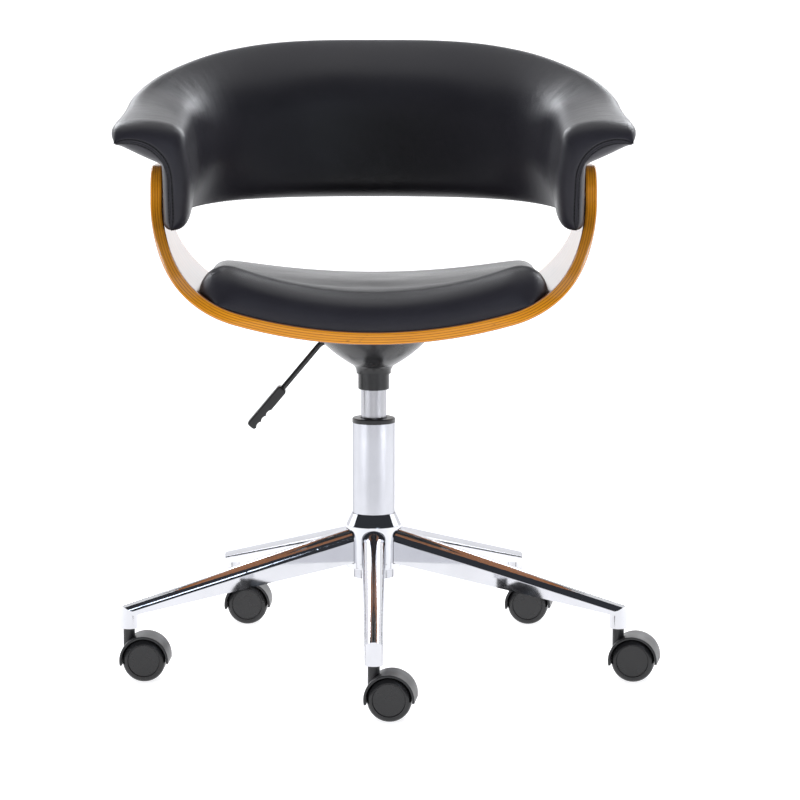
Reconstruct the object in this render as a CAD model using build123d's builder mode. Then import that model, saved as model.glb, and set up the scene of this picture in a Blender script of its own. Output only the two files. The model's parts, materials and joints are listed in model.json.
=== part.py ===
"""Swivel armchair on a five-star base with a gas lift, a bent plywood hoop and a wrap-around backrest.

Millimetres, +Z up. The swivel axis is the Z axis, the floor is Z = 0 and the chair faces -Y.
Each piece is its own solid and is written to its own file in parts/.
"""

import os
from math import acos, asin, atan2, cos, degrees, hypot, radians, sin, tan

from build123d import *

os.makedirs("parts", exist_ok=True)

# Clearances
running_gap = 0.15
fixed_gap = 0.05
seat_gap = 0.1
soft_gap = 0.3
seam_gap = 0.3
shell_gap = 0.5

# Casters
wheel_diameter = 50.0
wheel_width = 18.0
wheel_face_diameter = 36.0
wheel_side_gap = 0.6
caster_trail = 19.0
web_thickness = 7.0
hood_gap = 1.0
hood_thickness = 2.6
hood_rear_angle = 12.0
hood_front_angle = 6.0
hood_edge_round = 1.2
boss_diameter = 13.5
boss_rise = 5.9
swivel_gap = 1.0
axle_diameter = 6.0
stem_diameter = 11.0
stem_length = 21.0
spigot_diameter = 8.0
spigot_length = 12.0
caster_yaws = (-6.0, -10.0, -8.0, -3.0, -3.0)

# Five-star base
leg_count = 5
first_leg_angle = -90.0
base_radius = 300.0
socket_diameter = 21.0
tip_height = 27.5
leg_tip_height = 14.0
leg_rise = 75.0
leg_root_width = 29.0
leg_root_height = 40.0
leg_wall = 2.0
leg_insert = 5.0
leg_pocket_gap = 0.9
hub_diameter = 66.0
hub_below_leg = 7.0
hub_above_leg = 4.0
hub_cone_height = 14.0
hub_top_diameter = 53.0
hub_edge_round = 2.0

# Gas lift
column_diameter = 50.0
column_foot_diameter = 47.6
column_wall = 3.0
column_exposed = 108.0
column_below_hub = 12.0
sleeve_length = 80.0
ring_diameter = 51.0
ring_height = 5.6
cylinder_diameter = 30.0
cylinder_wall = 2.0
cylinder_top_diameter = 27.0
cylinder_exposed = 34.0
lift_down = 15.0
lift_up = 85.0
rod_diameter = 10.0
piston_height = 12.0
gland_height = 18.0
valve_length = 60.0
race_diameter = 28.0
race_thickness = 2.5
ball_diameter = 4.0
ball_count = 12
buffer_height = 10.0
buffer_diameter = 24.0
clip_thickness = 1.5
pin_diameter = 6.0
pin_rise = 3.5
pin_length = 32.0

# Mechanism and lever
taper_socket_diameter = 37.0
taper_socket_length = 47.0
bell_skin = 2.0
bell_neck_start = 19.0
bell_neck_height = 7.6
bell_slope = 27.5
bell_curve = 160.0
bell_turn = 36.0
plate_thickness = 3.0
plate_width = 204.0
plate_depth = 192.0
lever_diameter = 6.5
lever_headroom = 5.7
lever_pivot_x = -40.0
lever_bend_x = -54.5
lever_bend_radius = 14.0
lever_drop_angle = 50.0
lever_straight = 65.0
lever_overhang = 4.5
grip_length = 60.0
grip_height = 12.0
grip_width = 17.0
grip_hold = 22.0
pivot_diameter = 3.0
ear_thickness = 3.0

# Plywood hoop
ply_thickness = 14.0
seat_tilt = 3.0
hoop_bottom_radius = 576.0
hoop_corner_radius = 138.5
hoop_bottom_angle = 15.9
hoop_height = 197.0
hoop_front = 215.0
hoop_rear = 185.0
arm_front = 72.0
arm_rear = 78.0
arm_corner = 32.0
ply_edge_round = 2.5

# Seat cushion
cushion_side_gap = 46.4
cushion_roll = 38.0
cushion_middle = 45.5
cushion_side = 49.5
cushion_front = 209.0
cushion_rear = 181.0
board_thickness = 5.0
board_turn = 24.0
board_margin = 26.0

# Backrest
wrap_corner_radius = 130.0
wrap_corner_y = 45.0
wrap_back_angle = 22.0
wrap_arm_length = 150.0
nose_length = 20.0
back_drop = 53.0
arm_drop = 68.0
arm_lean = 1.4
pad_inner = 19.0
pad_outer_back = 14.0
pad_outer_arm = 9.8
arm_crown = 10.0
arm_edge_radius = 18.0
arm_edge_turn = 72.0
lip_thickness = 20.0
shell_thickness = 5.5
shell_edge = 12.0

# Fasteners
bolt_diameter = 6.0
bolt_head_diameter = 12.0
bolt_head_height = 4.0
plate_bolt_x = 82.0
plate_bolt_y = 76.0
tee_flange_diameter = 18.0
tee_flange_thickness = 1.5
tee_barrel_diameter = 8.0
tee_barrel_length = 9.0
screw_diameter = 4.0
screw_head_diameter = 9.0
screw_head_height = 2.6
screw_x = 60.0
screw_y = 130.0
insert_diameter = 10.0
back_bolt_ys = (-52.0, 12.0)
back_bolt_rise = 36.0
head_sink = 0.2
key_size = 4.0

# Heights, each one built on the one below
wheel_radius = wheel_diameter / 2
hood_inner = wheel_radius + hood_gap
hood_outer = hood_inner + hood_thickness
boss_top = wheel_radius + hood_outer + boss_rise
socket_bottom = boss_top + swivel_gap
leg_tip_top = socket_bottom + tip_height
leg_root_top = leg_tip_top + leg_rise
hub_bottom = leg_root_top - leg_root_height - hub_below_leg
hub_shoulder = leg_root_top + hub_above_leg
hub_top = hub_shoulder + hub_cone_height
column_bottom = hub_bottom - column_below_hub
column_top = hub_top + column_exposed
ring_top = column_top + seat_gap + ring_height
taper_bottom = ring_top + cylinder_exposed
taper_top = taper_bottom + taper_socket_length
cylinder_top = taper_top + 2.0
pin_top = cylinder_top + pin_rise
lever_z = pin_top + soft_gap + lever_diameter / 2
seat_z = lever_z + lever_diameter / 2 + lever_headroom + plate_thickness + seat_gap
race_bottom = column_bottom + column_wall
ball_bottom = race_bottom + race_thickness
upper_race_bottom = ball_bottom + ball_diameter
buffer_bottom = upper_race_bottom + race_thickness
buffer_top = buffer_bottom + buffer_height
cylinder_bottom = buffer_top + lift_down + 1.0
piston_bottom = cylinder_bottom + gland_height + lift_up + 6.0

# The seat leans back with the plywood hoop, about the middle of the hoop's underside
tilt = radians(seat_tilt)
seat_frame = Plane(origin=(0, 0, seat_z), x_dir=(1, 0, 0), z_dir=(0, sin(tilt), cos(tilt)))


def on(frame, plane=Plane.XY):
    """A plane given in the coordinates of a frame."""
    return Plane(frame.location * plane.location)


def save(piece, name):
    """Labels a finished piece and writes it to its own file."""
    piece.label = name
    export_step(piece, f"parts/{name}.step")


def leg_frame(k):
    """The frame of leg k: X runs out along the leg."""
    a = radians(first_leg_angle + 360 / leg_count * k)
    return Plane(origin=(0, 0, 0), x_dir=(cos(a), sin(a), 0), z_dir=(0, 0, 1))


def caster_frame(k):
    """The frame of caster k on the floor under its stem: X runs back along the trail."""
    a = radians(first_leg_angle + 360 / leg_count * k)
    yaw = radians(caster_yaws[k % len(caster_yaws)])
    spot = (base_radius * cos(a), base_radius * sin(a), 0)
    return Plane(origin=spot, x_dir=(cos(yaw), sin(yaw), 0), z_dir=(0, 0, 1))


def leg_size(r):
    """Width, height and top of the leg at radius r."""
    tip = base_radius + socket_diameter / 2
    t = (r - hub_diameter / 2) / (tip - hub_diameter / 2)
    width = leg_root_width + (socket_diameter - leg_root_width) * t
    height = leg_root_height + (leg_tip_height - leg_root_height) * t
    return width, height, leg_root_top - leg_rise * t


def leg_lines(r, grow, below):
    """Draws the round-topped leg section, grown by a gap and reaching further below."""
    width, height, top = leg_size(r)
    half = width / 2 + grow
    crown = top + grow
    foot = top - height - below
    Polyline((-half, crown - half), (-half, foot), (half, foot), (half, crown - half))
    ThreePointArc((half, crown - half), (0, crown), (-half, crown - half))


# Base hub with a tapered bore and one arched pocket for each leg
taper_run = hub_top - column_bottom
taper_rate = (column_diameter - column_foot_diameter) / 2 / taper_run
hub_bore_foot = column_foot_diameter / 2 + taper_rate * (hub_bottom - column_bottom) + fixed_gap
hub_bore_top = column_diameter / 2 + fixed_gap
leg_start = hub_diameter / 2 - leg_insert
with BuildPart() as base_hub:
    with BuildSketch(Plane.XZ):
        with BuildLine():
            Polyline(
                (hub_bore_foot, hub_bottom),
                (hub_diameter / 2, hub_bottom),
                (hub_diameter / 2, hub_shoulder),
                (hub_top_diameter / 2, hub_top),
                (hub_bore_top, hub_top),
                close=True,
            )
        hub_face = make_face()
        fillet(hub_face.vertices().filter_by(lambda v: v.X > hub_diameter / 2 - 0.1), hub_edge_round)
    revolve(axis=Axis.Z)
    for k in range(leg_count):
        for r in (leg_start - seat_gap, hub_diameter / 2 + 5):
            with BuildSketch(on(leg_frame(k), Plane.YZ.offset(r))):
                with BuildLine():
                    leg_lines(r, leg_pocket_gap, leg_pocket_gap)
                make_face()
        loft(ruled=True, mode=Mode.SUBTRACT)
save(base_hub.part, "base_hub")

# Five pressed legs, open underneath, each ending in a caster socket
socket_radius = socket_diameter / 2
for k in range(leg_count):
    frame = leg_frame(k)
    with BuildPart() as base_leg:
        for r in (leg_start, base_radius + socket_radius):
            with BuildSketch(on(frame, Plane.YZ.offset(r))):
                with BuildLine():
                    leg_lines(r, 0, 0)
                make_face()
        loft(ruled=True)
        with BuildSketch(frame):
            with Locations(((leg_start + base_radius) / 2, 0)):
                Rectangle(base_radius - leg_start, leg_root_width + 20)
            with Locations((base_radius, 0)):
                Circle(socket_radius)
        extrude(amount=leg_root_top + 100, mode=Mode.INTERSECT)
        with BuildSketch(on(frame, Plane.XY.offset(socket_bottom))):
            with Locations((base_radius, 0)):
                Circle(socket_radius)
        extrude(amount=tip_height - leg_tip_height + 4)
        for r in (leg_start - 1, base_radius - socket_radius - leg_wall):
            with BuildSketch(on(frame, Plane.YZ.offset(r))):
                with BuildLine():
                    leg_lines(r, -leg_wall, 2)
                make_face()
        loft(ruled=True, mode=Mode.SUBTRACT)
        with BuildSketch(on(frame, Plane.XY.offset(socket_bottom))):
            with Locations((base_radius, 0)):
                Circle(stem_diameter / 2 + fixed_gap)
        extrude(amount=stem_length + 0.5, mode=Mode.SUBTRACT)
    save(base_leg.part, f"base_leg_{k + 1}")

# Caster stems with a groove for the grip ring, all five in one node
with BuildPart() as caster_stems:
    for k in range(leg_count):
        frame = caster_frame(k)
        stem_top = socket_bottom + stem_length
        with BuildSketch(on(frame, Plane.XZ)):
            with BuildLine():
                Polyline(
                    (0, boss_top - spigot_length),
                    (spigot_diameter / 2, boss_top - spigot_length),
                    (spigot_diameter / 2, boss_top + running_gap),
                    (boss_diameter / 2, boss_top + running_gap),
                    (boss_diameter / 2, socket_bottom - fixed_gap),
                    (stem_diameter / 2, socket_bottom - fixed_gap),
                    (stem_diameter / 2, stem_top - 9),
                    (stem_diameter / 2 - 0.8, stem_top - 9),
                    (stem_diameter / 2 - 0.8, stem_top - 5),
                    (stem_diameter / 2, stem_top - 5),
                    (stem_diameter / 2, stem_top - 2),
                    (stem_diameter / 2 - 2, stem_top),
                    (0, stem_top),
                    close=True,
                )
            make_face()
        revolve(axis=Axis(frame.origin, (0, 0, 1)))
save(caster_stems.part, "caster_stems")

# Casters: hood with web and boss, axle and two wheels
half_caster = web_thickness / 2 + wheel_side_gap + wheel_width
bore_depth = wheel_width - 5
for k in range(leg_count):
    frame = caster_frame(k)
    side_plane = on(frame, Plane.XZ)
    hub_spot = (caster_trail, wheel_radius)
    with BuildPart() as caster_hood:
        with BuildSketch(side_plane):
            with BuildLine():
                sweep_angle = 180 + hood_rear_angle + hood_front_angle
                outer = CenterArc(hub_spot, hood_outer, -hood_front_angle, sweep_angle)
                inner = CenterArc(hub_spot, hood_inner, -hood_front_angle, sweep_angle)
                Line(outer @ 0, inner @ 0)
                Line(outer @ 1, inner @ 1)
            make_face()
        extrude(amount=half_caster, both=True)
        brow = caster_hood.edges().filter_by(GeomType.CIRCLE).filter_by(lambda e: e.radius > hood_outer - 0.1)
        fillet(brow, hood_edge_round)
        with BuildSketch(on(frame, Plane.XY.offset(wheel_radius))):
            Circle(boss_diameter / 2)
        extrude(amount=boss_top - wheel_radius)
        with BuildSketch(side_plane):
            with BuildLine():
                roof = CenterArc(hub_spot, hood_inner + hood_thickness / 2, 0, 180)
                Line(roof @ 1, roof @ 0)
            make_face()
            with Locations(hub_spot):
                Circle(axle_diameter + 5)
        extrude(amount=web_thickness / 2, both=True)
        for side in (1, -1):
            with BuildSketch(on(frame, Plane.XZ.offset(side * web_thickness / 2))):
                with Locations(hub_spot):
                    Circle(hood_inner)
            extrude(amount=side * (wheel_width + 5), mode=Mode.SUBTRACT)
        with BuildSketch(on(frame, Plane.XY.offset(boss_top))):
            Circle(spigot_diameter / 2 + running_gap)
        extrude(amount=-spigot_length - 0.5, mode=Mode.SUBTRACT)
        with BuildSketch(side_plane):
            with Locations(hub_spot):
                Circle(axle_diameter / 2 + fixed_gap)
        extrude(amount=web_thickness, both=True, mode=Mode.SUBTRACT)
    save(caster_hood.part, f"caster_hood_{k + 1}")

    with BuildPart() as caster_axle:
        with BuildSketch(side_plane):
            with Locations(hub_spot):
                Circle(axle_diameter / 2)
        extrude(amount=web_thickness / 2 + wheel_side_gap + bore_depth - 0.3, both=True)
    save(caster_axle.part, f"caster_axle_{k + 1}")

    for side, which in ((1, "left"), (-1, "right")):
        centre = frame.from_local_coords((caster_trail, 0, wheel_radius))
        spin = Vector(frame.y_dir * side)
        wheel_frame = Plane(origin=centre, x_dir=frame.x_dir, z_dir=spin)
        start = web_thickness / 2 + wheel_side_gap
        face = start + wheel_width
        rim = wheel_face_diameter / 2
        with BuildPart() as caster_wheel:
            with BuildSketch(on(wheel_frame, Plane.XZ)):
                with BuildLine():
                    Polyline(
                        (wheel_radius, start + 0.62 * wheel_width),
                        (wheel_radius, start + 1.5),
                        (wheel_radius - 1.5, start),
                        (axle_diameter / 2 + running_gap, start),
                        (axle_diameter / 2 + running_gap, start + bore_depth),
                        (0, start + bore_depth),
                        (0, face - 1.4),
                        (rim, face - 1.4),
                        (rim + 0.8, face),
                    )
                    ThreePointArc(
                        (rim + 0.8, face),
                        (wheel_radius - 0.28 * (wheel_radius - rim), face - 0.1 * wheel_width),
                        (wheel_radius, start + 0.62 * wheel_width),
                    )
                make_face()
            revolve(axis=Axis(centre, spin))
        save(caster_wheel.part, f"caster_wheel_{k + 1}_{which}")

# Gas lift column: tapered foot in the hub, floor with a hole for the rod
column_radius = column_diameter / 2
column_bore = column_foot_diameter / 2 - column_wall
with BuildPart() as column_tube:
    with BuildSketch(Plane.XZ):
        with BuildLine():
            Polyline(
                (rod_diameter / 2 + 1, column_bottom),
                (column_foot_diameter / 2, column_bottom),
                (column_radius, hub_top),
                (column_radius, column_top),
                (column_bore, column_top),
                (column_bore, race_bottom),
                (rod_diameter / 2 + 1, race_bottom),
                close=True,
            )
        make_face()
    revolve(axis=Axis.Z)
save(column_tube.part, "column_tube")

# Guide sleeve with the black ring that caps the column
with BuildPart() as guide_sleeve:
    with BuildSketch(Plane.XZ):
        with BuildLine():
            Polyline(
                (cylinder_diameter / 2 + running_gap, column_top - sleeve_length),
                (column_bore - fixed_gap, column_top - sleeve_length),
                (column_bore - fixed_gap, column_top + seat_gap),
                (ring_diameter / 2, column_top + seat_gap),
                (ring_diameter / 2, ring_top - 1),
                (ring_diameter / 2 - 1, ring_top),
                (cylinder_diameter / 2 + 1.2, ring_top),
                (cylinder_diameter / 2 + running_gap, ring_top - 1.2),
                close=True,
            )
        make_face()
    revolve(axis=Axis.Z)
save(guide_sleeve.part, "guide_sleeve")

# Thrust bearing: the lower race stands on the column floor
rod_foot = rod_diameter / 2 - 1
with BuildPart() as lower_race:
    with BuildSketch(Plane.XY.offset(race_bottom + fixed_gap)):
        Circle(race_diameter / 2)
        Circle(rod_foot + soft_gap, mode=Mode.SUBTRACT)
    extrude(amount=race_thickness - fixed_gap)
save(lower_race.part, "lower_race")

with BuildPart() as bearing_balls:
    with Locations((0, 0, ball_bottom + ball_diameter / 2)):
        with PolarLocations((race_diameter / 2 + rod_foot) / 2, ball_count):
            Sphere(ball_diameter / 2 - fixed_gap)
save(bearing_balls.part, "bearing_balls")

with BuildPart() as upper_race:
    with BuildSketch(Plane.XY.offset(upper_race_bottom)):
        Circle(race_diameter / 2)
        Circle(rod_foot + fixed_gap, mode=Mode.SUBTRACT)
    extrude(amount=race_thickness - fixed_gap)
save(upper_race.part, "upper_race")

# Piston rod with a stepped foot and a clip groove, and the piston on top of it
clip_top = column_bottom - soft_gap
clip_bottom = clip_top - clip_thickness
piston_top = piston_bottom + piston_height
with BuildPart() as piston_rod:
    with BuildSketch(Plane.XZ):
        with BuildLine():
            Polyline(
                (0, clip_bottom - 3),
                (rod_foot, clip_bottom - 3),
                (rod_foot, clip_bottom - fixed_gap),
                (rod_foot - 0.8, clip_bottom - fixed_gap),
                (rod_foot - 0.8, clip_top + fixed_gap),
                (rod_foot, clip_top + fixed_gap),
                (rod_foot, buffer_bottom),
                (rod_diameter / 2, buffer_bottom),
                (rod_diameter / 2, piston_top),
                (0, piston_top),
                close=True,
            )
        make_face()
    revolve(axis=Axis.Z)
save(piston_rod.part, "piston_rod")

cylinder_bore = cylinder_diameter / 2 - cylinder_wall
with BuildPart() as piston:
    with BuildSketch(Plane.XY.offset(piston_bottom)):
        Circle(cylinder_bore - running_gap)
        Circle(rod_diameter / 2 + fixed_gap, mode=Mode.SUBTRACT)
    extrude(amount=piston_height)
save(piston.part, "piston")

with BuildPart() as retaining_clip:
    with BuildSketch(Plane.XY.offset(clip_bottom)):
        Circle(rod_foot + 4)
        Circle(rod_foot - 0.8 + fixed_gap, mode=Mode.SUBTRACT)
        with Locations((rod_foot + 2, 0)):
            Rectangle(rod_foot + 5, 2 * rod_foot - 3, mode=Mode.SUBTRACT)
    extrude(amount=clip_thickness)
save(retaining_clip.part, "retaining_clip")

with BuildPart() as rubber_buffer:
    with BuildSketch(Plane.XY.offset(buffer_bottom + fixed_gap)):
        Circle(buffer_diameter / 2)
        Circle(rod_diameter / 2 + running_gap, mode=Mode.SUBTRACT)
    extrude(amount=buffer_height - fixed_gap)
save(rubber_buffer.part, "rubber_buffer")

# Gas cylinder: straight where it slides, tapered where it sits in the mechanism
cone_rate = (cylinder_diameter - cylinder_top_diameter) / 2 / (cylinder_top - taper_bottom)
chamber_top = cylinder_top - valve_length
with BuildPart() as gas_cylinder:
    with BuildSketch(Plane.XZ):
        with BuildLine():
            Polyline(
                (rod_diameter / 2 + running_gap, cylinder_bottom),
                (cylinder_diameter / 2 - 1, cylinder_bottom),
                (cylinder_diameter / 2, cylinder_bottom + 1),
                (cylinder_diameter / 2, taper_bottom),
                (cylinder_top_diameter / 2, cylinder_top),
                (0, cylinder_top),
                (0, chamber_top),
                (cylinder_bore, chamber_top),
                (cylinder_bore, cylinder_bottom + gland_height),
                (rod_diameter / 2 + running_gap, cylinder_bottom + gland_height),
                close=True,
            )
        make_face()
    revolve(axis=Axis.Z)
    with BuildSketch(Plane.XY.offset(cylinder_top)):
        Circle(pin_diameter / 2 + running_gap)
    extrude(amount=-(pin_length - pin_rise + 8), mode=Mode.SUBTRACT)
save(gas_cylinder.part, "gas_cylinder")

with BuildPart() as release_pin:
    with BuildSketch(Plane.XZ):
        with BuildLine():
            Polyline(
                (0, pin_top - pin_length),
                (pin_diameter / 2, pin_top - pin_length),
                (pin_diameter / 2, pin_top - 1),
                (pin_diameter / 2 - 1, pin_top),
                (0, pin_top),
                close=True,
            )
        make_face()
    revolve(axis=Axis.Z)
save(release_pin.part, "release_pin")

# Taper socket: the collar seen under the bell
with BuildPart() as taper_socket:
    with BuildSketch(Plane.XZ):
        socket_top_bore = cylinder_diameter / 2 - cone_rate * taper_socket_length + fixed_gap
        with BuildLine():
            Polyline(
                (cylinder_diameter / 2 + fixed_gap, taper_bottom),
                (taper_socket_diameter / 2 - 0.8, taper_bottom),
                (taper_socket_diameter / 2, taper_bottom + 0.8),
                (taper_socket_diameter / 2, taper_top),
                (socket_top_bore, taper_top),
                close=True,
            )
        make_face()
    revolve(axis=Axis.Z)
save(taper_socket.part, "taper_socket")

# Plywood hoop profile in the seat frame: X across, Y up from the underside's middle
turn_start = radians(hoop_bottom_angle)
corner_x = (hoop_bottom_radius - hoop_corner_radius) * sin(turn_start)
corner_y = hoop_bottom_radius - (hoop_bottom_radius - hoop_corner_radius) * cos(turn_start)


def hoop_point(angle, inset):
    """The hoop's profile at a turning angle in degrees, moved inward from the outer face."""
    turn = radians(abs(angle))
    side = 1 if angle >= 0 else -1
    if turn <= turn_start:
        reach = hoop_bottom_radius - inset
        return side * reach * sin(turn), hoop_bottom_radius - reach * cos(turn)
    reach = hoop_corner_radius - inset
    return side * (corner_x + reach * sin(turn)), corner_y - reach * cos(turn)


def hoop_turn(x, inset):
    """The turning angle at which the profile passes x, out on the corner."""
    return degrees(asin((x - corner_x) / (hoop_corner_radius - inset)))


def hoop_run(inset, stops):
    """Draws the profile through a list of turning angles, one arc between each two."""
    for a, b in zip(stops, stops[1:]):
        ThreePointArc(hoop_point(a, inset), hoop_point((a + b) / 2, inset), hoop_point(b, inset))


def hoop_layer(outer, inner, turn):
    """Draws a layer of the hoop between two insets, out to a turning angle on both sides."""
    edge = hoop_bottom_angle
    stops = (-turn, -edge, edge, turn) if turn > edge else (-turn, turn)
    hoop_run(outer, stops)
    hoop_run(inner, stops)
    Line(hoop_point(-turn, outer), hoop_point(-turn, inner))
    Line(hoop_point(turn, outer), hoop_point(turn, inner))


def across(y):
    """The plane of the hoop's profile at depth y in the seat frame; its normal points forward."""
    return on(seat_frame, Plane.XZ.offset(-y))


def hoop_normal(x, y, inset):
    """A plane on the hoop's bottom, its Z pointing out of the underside."""
    turn = asin(x / hoop_bottom_radius)
    px, pz = hoop_point(degrees(turn), inset)
    spot = seat_frame.from_local_coords((px, y, pz))
    foot = seat_frame.from_local_coords((px + sin(turn), y, pz - cos(turn)))
    return Plane(origin=spot, x_dir=seat_frame.y_dir, z_dir=foot - spot)


plate_spots = [(x, y) for x in (-plate_bolt_x, plate_bolt_x) for y in (-plate_bolt_y, plate_bolt_y)]
screw_spots = [(x, y) for x in (-screw_x, screw_x) for y in (-screw_y, screw_y)]
plate_turn = degrees(asin(plate_width / 2 / hoop_bottom_radius))
bolt_hole = bolt_diameter / 2 + 0.25
screw_hole = screw_diameter / 2 + 0.15

# Seat plate, bent to the hoop's curve
plate_top = -seat_gap
plate_bottom = -seat_gap - plate_thickness
with BuildPart() as seat_plate:
    with BuildSketch(across(plate_depth / 2)):
        with BuildLine():
            hoop_layer(plate_bottom, plate_top, plate_turn)
        make_face()
    extrude(amount=plate_depth)
    for x, y in plate_spots:
        with BuildSketch(hoop_normal(x, y, 0)):
            Circle(bolt_hole)
        extrude(amount=plate_thickness + 2, mode=Mode.SUBTRACT)
    corner_edges = seat_plate.edges().filter_by(lambda e: e.length < plate_thickness * 1.05)
    fillet(corner_edges, 14)
save(seat_plate.part, "seat_plate")


def above_plate(gap):
    """Draws the space over the plate's underside, lowered by a gap."""
    turn = min(plate_turn * 1.3, hoop_bottom_angle)
    left, right = hoop_point(-turn, plate_bottom - gap), hoop_point(turn, plate_bottom - gap)
    hoop_run(plate_bottom - gap, (-turn, turn))
    Polyline(left, (left[0], left[1] + 80), (right[0], right[1] + 80), right)


# Bell housing: a bowl-shaped skin from the taper socket up to the plate, slotted for the lever
slope = radians(bell_slope)
neck = taper_socket_diameter / 2 + fixed_gap
bell_bottom = taper_bottom + bell_neck_start
bell_bend = bell_bottom + bell_neck_height
with BuildPart() as bell_housing:
    with BuildSketch(Plane.XZ):
        with BuildLine():
            flare = (cos(slope), sin(slope))
            foot_out = (neck + bell_skin, bell_bend)
            foot_in = (foot_out[0] - bell_skin * sin(slope), bell_bend + bell_skin * cos(slope))
            skin_out = JernArc(foot_out, flare, bell_curve, bell_turn)
            skin_in = JernArc(foot_in, flare, bell_curve - bell_skin, bell_turn)
            Line(skin_out @ 1, skin_in @ 1)
            Polyline(foot_in, (neck, bell_bend), (neck, bell_bottom), (foot_out[0], bell_bottom), foot_out)
        bell_face = make_face()
        bends = bell_face.vertices().filter_by(lambda v: hypot(v.X - foot_out[0], v.Y - foot_out[1]) < 0.1)
        fillet(bends, bell_neck_height * 1.35)
    revolve(axis=Axis.Z)
    with BuildSketch(across(plate_depth)):
        with BuildLine():
            above_plate(seat_gap)
        make_face()
    extrude(amount=2 * plate_depth, mode=Mode.SUBTRACT)
    with BuildSketch(Plane.YZ.offset(lever_pivot_x)):
        with Locations((0, lever_z - 6)):
            SlotOverall(44, lever_diameter + 4, rotation=90)
    extrude(amount=-plate_width / 2, mode=Mode.SUBTRACT)
save(bell_housing.part, "bell_housing")

# Lever bracket: a channel under the plate whose two ears hold the pivot pin
ear_gap = lever_diameter / 2 + soft_gap
with BuildPart() as lever_bracket:
    for side in (1, -1):
        with BuildSketch(Plane.XZ.offset(side * ear_gap)):
            with Locations((lever_pivot_x, lever_z)):
                Circle(pivot_diameter)
            with Locations((lever_pivot_x, lever_z + 10)):
                Rectangle(2 * pivot_diameter, 20)
            with Locations((lever_pivot_x, lever_z)):
                Circle(pivot_diameter / 2 + fixed_gap, mode=Mode.SUBTRACT)
        extrude(amount=side * ear_thickness)
    with BuildSketch(Plane.XZ):
        with Locations((lever_pivot_x, lever_z + lever_diameter / 2 + 10 + soft_gap * 4)):
            Rectangle(2 * pivot_diameter, 20)
    extrude(amount=ear_gap + ear_thickness, both=True)
    with BuildSketch(across(plate_depth)):
        with BuildLine():
            above_plate(seat_gap)
        make_face()
    extrude(amount=2 * plate_depth, mode=Mode.SUBTRACT)
save(lever_bracket.part, "lever_bracket")

with BuildPart() as lever_pivot_pin:
    with BuildSketch(Plane.XZ):
        with Locations((lever_pivot_x, lever_z)):
            Circle(pivot_diameter / 2)
    extrude(amount=ear_gap + ear_thickness + 1, both=True)
save(lever_pivot_pin.part, "lever_pivot_pin")

# Lever: a bent rod over the release pin, and its grip
drop = radians(lever_drop_angle)
with BuildPart() as lever_rod:
    with BuildLine(Plane.XZ) as lever_path:
        inner_end = Line((lever_overhang, lever_z), (lever_bend_x, lever_z))
        bend = JernArc(inner_end @ 1, (-1, 0), lever_bend_radius, lever_drop_angle)
        Line(bend @ 1, (bend @ 1) + Vector(-cos(drop), 0, -sin(drop)) * (lever_straight + grip_hold))
    with BuildSketch(Plane(origin=(lever_overhang, 0, lever_z), z_dir=(-1, 0, 0))):
        Circle(lever_diameter / 2)
    sweep(path=lever_path.line)
    with BuildSketch(Plane.XZ):
        with Locations((lever_pivot_x, lever_z)):
            Circle(pivot_diameter / 2 + running_gap)
    extrude(amount=lever_diameter, both=True, mode=Mode.SUBTRACT)
save(lever_rod.part, "lever_rod")

# The grip's frame: X runs along the rod towards the tip, Z is the upper side
grip_start = bend @ 1 + Vector(-cos(drop), 0, -sin(drop)) * lever_straight
grip_frame = Plane(origin=grip_start, x_dir=(-cos(drop), 0, -sin(drop)), z_dir=(-sin(drop), 0, cos(drop)))
notch_radius = 7.0
with BuildPart() as lever_grip:
    with BuildSketch(on(grip_frame, Plane.XZ)):
        with Locations((grip_length / 2, 0)):
            RectangleRounded(grip_length, grip_height, grip_height * 0.3)
        for i in range(3):
            with Locations((grip_length * (0.56 + 0.15 * i), -grip_height / 2 - notch_radius * 0.72)):
                Circle(notch_radius, mode=Mode.SUBTRACT)
    extrude(amount=grip_width / 2, both=True)
    side_faces = lever_grip.faces().sort_by(Axis.Y)
    fillet(side_faces[0].edges() + side_faces[-1].edges(), 2.2)
    with BuildSketch(on(grip_frame, Plane.YZ)):
        Circle(lever_diameter / 2 + fixed_gap)
    extrude(amount=grip_hold + 0.3, mode=Mode.SUBTRACT)
save(lever_grip.part, "lever_grip")

# Plywood hoop: bent profile drawn through, then trimmed to the side view
tee_depth = tee_flange_thickness + 0.2
arm_top_z = seat_z + hoop_height
back_bolt_z = arm_top_z - arm_drop + back_bolt_rise
outer_x = hoop_point(90, 0)[0]


def side_spot(side, y):
    """The plane of a backrest bolt on the outside of an arm, its Z pointing outward."""
    return Plane(origin=(side * outer_x, y, back_bolt_z), x_dir=(0, 1, 0), z_dir=(side, 0, 0))


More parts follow.
